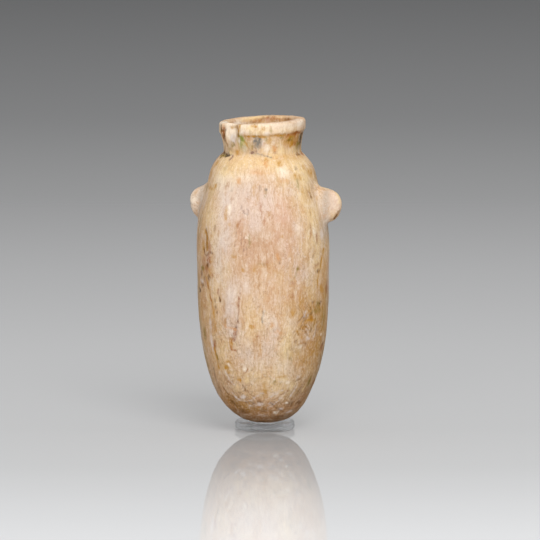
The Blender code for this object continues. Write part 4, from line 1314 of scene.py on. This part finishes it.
def makeAlabaster():
    # weathered alabaster, worn matt: warm cream stone, brown streaks in its furrows, a thin pale crust
    mat, tree = newMaterial("weathered_alabaster")
    coords = addNode(tree, "ShaderNodeTexCoord").outputs["Object"]
    split = addNode(tree, "ShaderNodeSeparateXYZ", {0: coords})
    height = split.outputs["Z"]

    def calc(operation, *values, **settings):
        sockets = dict(enumerate(values))
        return addNode(tree, "ShaderNodeMath", sockets, operation=operation, **settings).outputs[0]

    def calcVector(operation, *values):
        sockets = dict(enumerate(values))
        return addNode(tree, "ShaderNodeVectorMath", sockets, operation=operation).outputs

    drift = addNode(tree, "ShaderNodeTexNoise", {
        "Vector": coords, "Scale": 1 / stone["driftSize"], "Detail": 2})
    swayed = calcVector("MULTIPLY_ADD", drift.outputs["Color"], stone["drift"], coords)[0]

    # the furrows run down the curve of the wall, so what lies along them is placed on a straight tube
    flat = calcVector("MULTIPLY", swayed, (1, 1, 0))[0]
    upright = calcVector("MULTIPLY", swayed, (0, 0, 1))[0]
    around = calcVector("NORMALIZE", flat)[0]
    tube = calcVector("MULTIPLY_ADD", around, (stone["tube"], stone["tube"], 0), upright)[0]
    reach = calcVector("LENGTH", flat)["Value"]
    onLug = addNode(tree, "ShaderNodeMapRange", {
        "Value": reach, "From Min": lugs["starts"] * mm, "From Max": lugs["full"] * mm}).outputs["Result"]
    alongWall = addNode(tree, "ShaderNodeMix", {0: onLug, 4: tube, 5: swayed}, data_type="VECTOR").outputs[1]

    def grain(across, along, seed, detail=6.0, roughness=0.66, on=swayed):
        # each seed reads another part of the noise
        place = addNode(tree, "ShaderNodeMapping", {
            "Vector": on, "Location": (7.3 * seed, 3.1 * seed, 5.7 * seed),
            "Scale": (1 / (across * mm), 1 / (across * mm), 1 / (along * mm))})
        return addNode(tree, "ShaderNodeTexNoise", {
            "Vector": place.outputs["Vector"], "Scale": 1, "Detail": detail,
            "Roughness": roughness}).outputs["Fac"]

    def remap(value, low, high, toLow=0.0, toHigh=1.0):
        return addNode(tree, "ShaderNodeMapRange", {
            "Value": value, "From Min": low, "From Max": high, "To Min": toLow, "To Max": toHigh},
            interpolation_type="SMOOTHSTEP").outputs["Result"]

    def over(under, color, share):
        return addNode(tree, "ShaderNodeMix", {0: share, 6: under, 7: color}, data_type="RGBA").outputs[2]

    def between(share, heights):
        # fades a share out above and below a stretch of the height
        if heights:
            low, high = (h * mm for h in heights)
            below, above = stone["fadeBelow"], stone["fadeAbove"]
            share = calc("MULTIPLY", share, remap(height, low - below, low + below))
            share = calc("MULTIPLY", share, remap(height, high + above, high - above))
        return share

    def layOver(color, layers, firstSeed, on=swayed):
        for seed, (code, across, along, shows, full, strength, heights) in enumerate(layers, firstSeed):
            share = remap(grain(across, along, seed, on=on), shows, full, 0, strength)
            color = over(color, linearColor(code), between(share, heights))
        return color

    def drawLines(color, lines, firstSeed, on):
        # thin lines, where one noise crosses its middle value, in some areas only
        for seed, (code, across, along, halfWidth, strength, heights) in enumerate(lines, firstSeed):
            pattern = grain(across, along, seed, detail=4.0, roughness=0.6, on=on)
            crossing = calc("ABSOLUTE", calc("SUBTRACT", pattern, 0.5))
            line = remap(crossing, halfWidth, halfWidth * stone["lineCore"], 0, strength)
            area = remap(grain(*stone["lineAreas"], seed + 5, detail=2.0), 0.46, 0.58)
            color = over(color, linearColor(code), between(calc("MULTIPLY", line, area), heights))
        return color

    color = layOver(linearColor(stone["ground"]), stone["clouds"], firstSeed=1)
    # the soft marks: stains, and painted shade and highlights
    tintsAndPaintedLight = addNode(tree, "ShaderNodeAttribute", attribute_name="tintsAndPaintedLight").outputs
    color = over(color, tintsAndPaintedLight["Color"], tintsAndPaintedLight["Alpha"])
    color = layOver(color, stone["mottle"], firstSeed=10)

    # no streaks on top of the rim and under the foot, and few on the lugs, which are rubbed clean
    normal = addNode(tree, "ShaderNodeNewGeometry").outputs["Normal"]
    facing = addNode(tree, "ShaderNodeSeparateXYZ", {0: normal}).outputs["Z"]
    clean = remap(calc("ABSOLUTE", facing), *stone["level"])
    clean = calc("MAXIMUM", clean, calc("MULTIPLY", onLug, lugs["bare"]))
    streaked = layOver(color, stone["streaks"], firstSeed=20, on=alongWall)
    streaked = drawLines(streaked, stone["scratches"], firstSeed=40, on=alongWall)
    color = over(streaked, color, clean)
    color = drawLines(color, stone["crackle"], firstSeed=50, on=swayed)

    # the rasp's scratches lie flat on the wall unrolled, and go one way here and the other way there
    turn = calc("ARCTAN2", split.outputs["Y"], split.outputs["X"])
    aside = calc("MULTIPLY", turn, stone["wall"])
    unrolled = addNode(tree, "ShaderNodeCombineXYZ", {"X": aside, "Y": height})
    rasped = addNode(tree, "ShaderNodeAttribute", attribute_name="rasped").outputs["Fac"]
    way = grain(3.5, 4.5, seed=69, detail=1.0)
    for seed, (code, lean, width, length, strength) in enumerate(stone["rasp"], 70):
        place = addNode(tree, "ShaderNodeMapping", {
            "Vector": unrolled.outputs[0], "Location": (0.031 * seed, 0.017 * seed, 0),
            "Rotation": (0, 0, math.radians(lean)), "Scale": (width * mm, length * mm, 1)},
            vector_type="TEXTURE")
        lines = addNode(tree, "ShaderNodeTexNoise", {
            "Vector": place.outputs["Vector"], "Scale": 1, "Detail": 3, "Roughness": 0.55}).outputs["Fac"]
        chosen = remap(way, 0.46, 0.54) if lean < 0 else remap(way, 0.52, 0.44)
        share = calc("MULTIPLY", remap(lines, 0.52, 0.62, 0, strength), rasped)
        color = over(color, linearColor(code), calc("MULTIPLY", share, chosen))
    color = over(color, tintsAndPaintedLight["Color"], calc("MULTIPLY", tintsAndPaintedLight["Alpha"], stone["tintOver"]))

    # the firm marks: stains, and a few lines of painted shade
    stainsAndPaintedShade = addNode(tree, "ShaderNodeAttribute", attribute_name="stainsAndPaintedShade").outputs
    broken = remap(grain(0.8, 1.6, seed=61, detail=4.0, roughness=0.65), 0.36, 0.62, *stone["breakUp"])
    cover = calc("MULTIPLY", stainsAndPaintedShade["Alpha"], broken, use_clamp=True)
    color = over(color, stainsAndPaintedShade["Color"], cover)

    furrows = grain(0.9, 5, seed=62, detail=4.0, roughness=0.6, on=alongWall)
    pores = grain(0.35, 0.5, seed=63, detail=3.0, roughness=0.7)
    relief = calc("MULTIPLY_ADD", pores, stone["poreShare"], furrows)
    bump = addNode(tree, "ShaderNodeBump", {
        "Strength": stone["reliefStrength"], "Distance": stone["relief"], "Height": relief})
    shader = addNode(tree, "ShaderNodeBsdfPrincipled", {
        "Base Color": color, "Roughness": remap(furrows, 0.3, 0.7, *stone["roughness"]), "IOR": stone["ior"],
        "Specular IOR Level": stone["specular"], "Normal": bump.outputs["Normal"]})
    addNode(tree, "ShaderNodeOutputMaterial", {"Surface": shader.outputs["BSDF"]})
    return mat


print("vessel")
strewMarks()
vesselPiece = makeVessel()
paintStainsAndShade(vesselPiece)
vesselPiece.data.materials.append(makeAlabaster())
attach(vesselPiece, "root")
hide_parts("alabaster_amphora")


# Clear ring that the foot sits in, turned from one rounded section
ring = {
    "radius": 8.85 * mm,
    "bore": 10.6 * mm,
    "height": 2.3 * mm,
    "rounding": 0.85 * mm,
    "roundSteps": 10,
    "turnSteps": 128,
    "merge": 0.002 * mm,
    "tint": "F4F6F7",
    "roughness": 0.1,
    "ior": 1.4,
    "alpha": 0.35,        # how solid it looks
}


def makeRing():
    inner = ring["bore"] / 2
    width = ring["radius"] - inner
    bpy.ops.mesh.primitive_plane_add(size=1, location=(0, 0, 0))
    piece = bpy.context.object
    piece.name = "clear_ring"
    bpy.ops.object.mode_set(mode="EDIT")
    bpy.ops.mesh.select_all(action="SELECT")
    bpy.ops.transform.resize(value=(width, ring["height"], 1))
    bpy.ops.mesh.bevel(offset=ring["rounding"], segments=ring["roundSteps"], affect="VERTICES")
    bpy.ops.mesh.select_all(action="SELECT")
    bpy.ops.transform.rotate(value=-math.pi / 2, orient_axis="X", center_override=(0, 0, 0))
    bpy.ops.transform.translate(value=(inner + width / 2, 0, ring["height"] / 2))
    bpy.ops.mesh.delete(type="ONLY_FACE")
    bpy.ops.mesh.select_all(action="SELECT")
    bpy.ops.mesh.spin(steps=ring["turnSteps"], angle=2 * math.pi, center=(0, 0, 0), axis=(0, 0, 1))
    bpy.ops.mesh.select_all(action="SELECT")
    bpy.ops.mesh.remove_doubles(threshold=ring["merge"])
    bpy.ops.mesh.normals_make_consistent(inside=False)
    bpy.ops.mesh.faces_shade_smooth()
    bpy.ops.object.mode_set(mode="OBJECT")
    return piece


def makeAcrylic():
    # clear cast acrylic, polished: nearly unseen but for its bright and dark edges
    mat, tree = newMaterial("clear_acrylic")
    shader = addNode(tree, "ShaderNodeBsdfPrincipled", {
        "Base Color": linearColor(ring["tint"]), "Roughness": ring["roughness"], "IOR": ring["ior"],
        "Transmission Weight": 1.0, "Alpha": ring["alpha"]})
    addNode(tree, "ShaderNodeOutputMaterial", {"Surface": shader.outputs["BSDF"]})
    return mat


print("ring")
ringPiece = makeRing()
ringPiece.data.materials.append(makeAcrylic())
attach(ringPiece, "root")
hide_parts("clear_ring_stand")
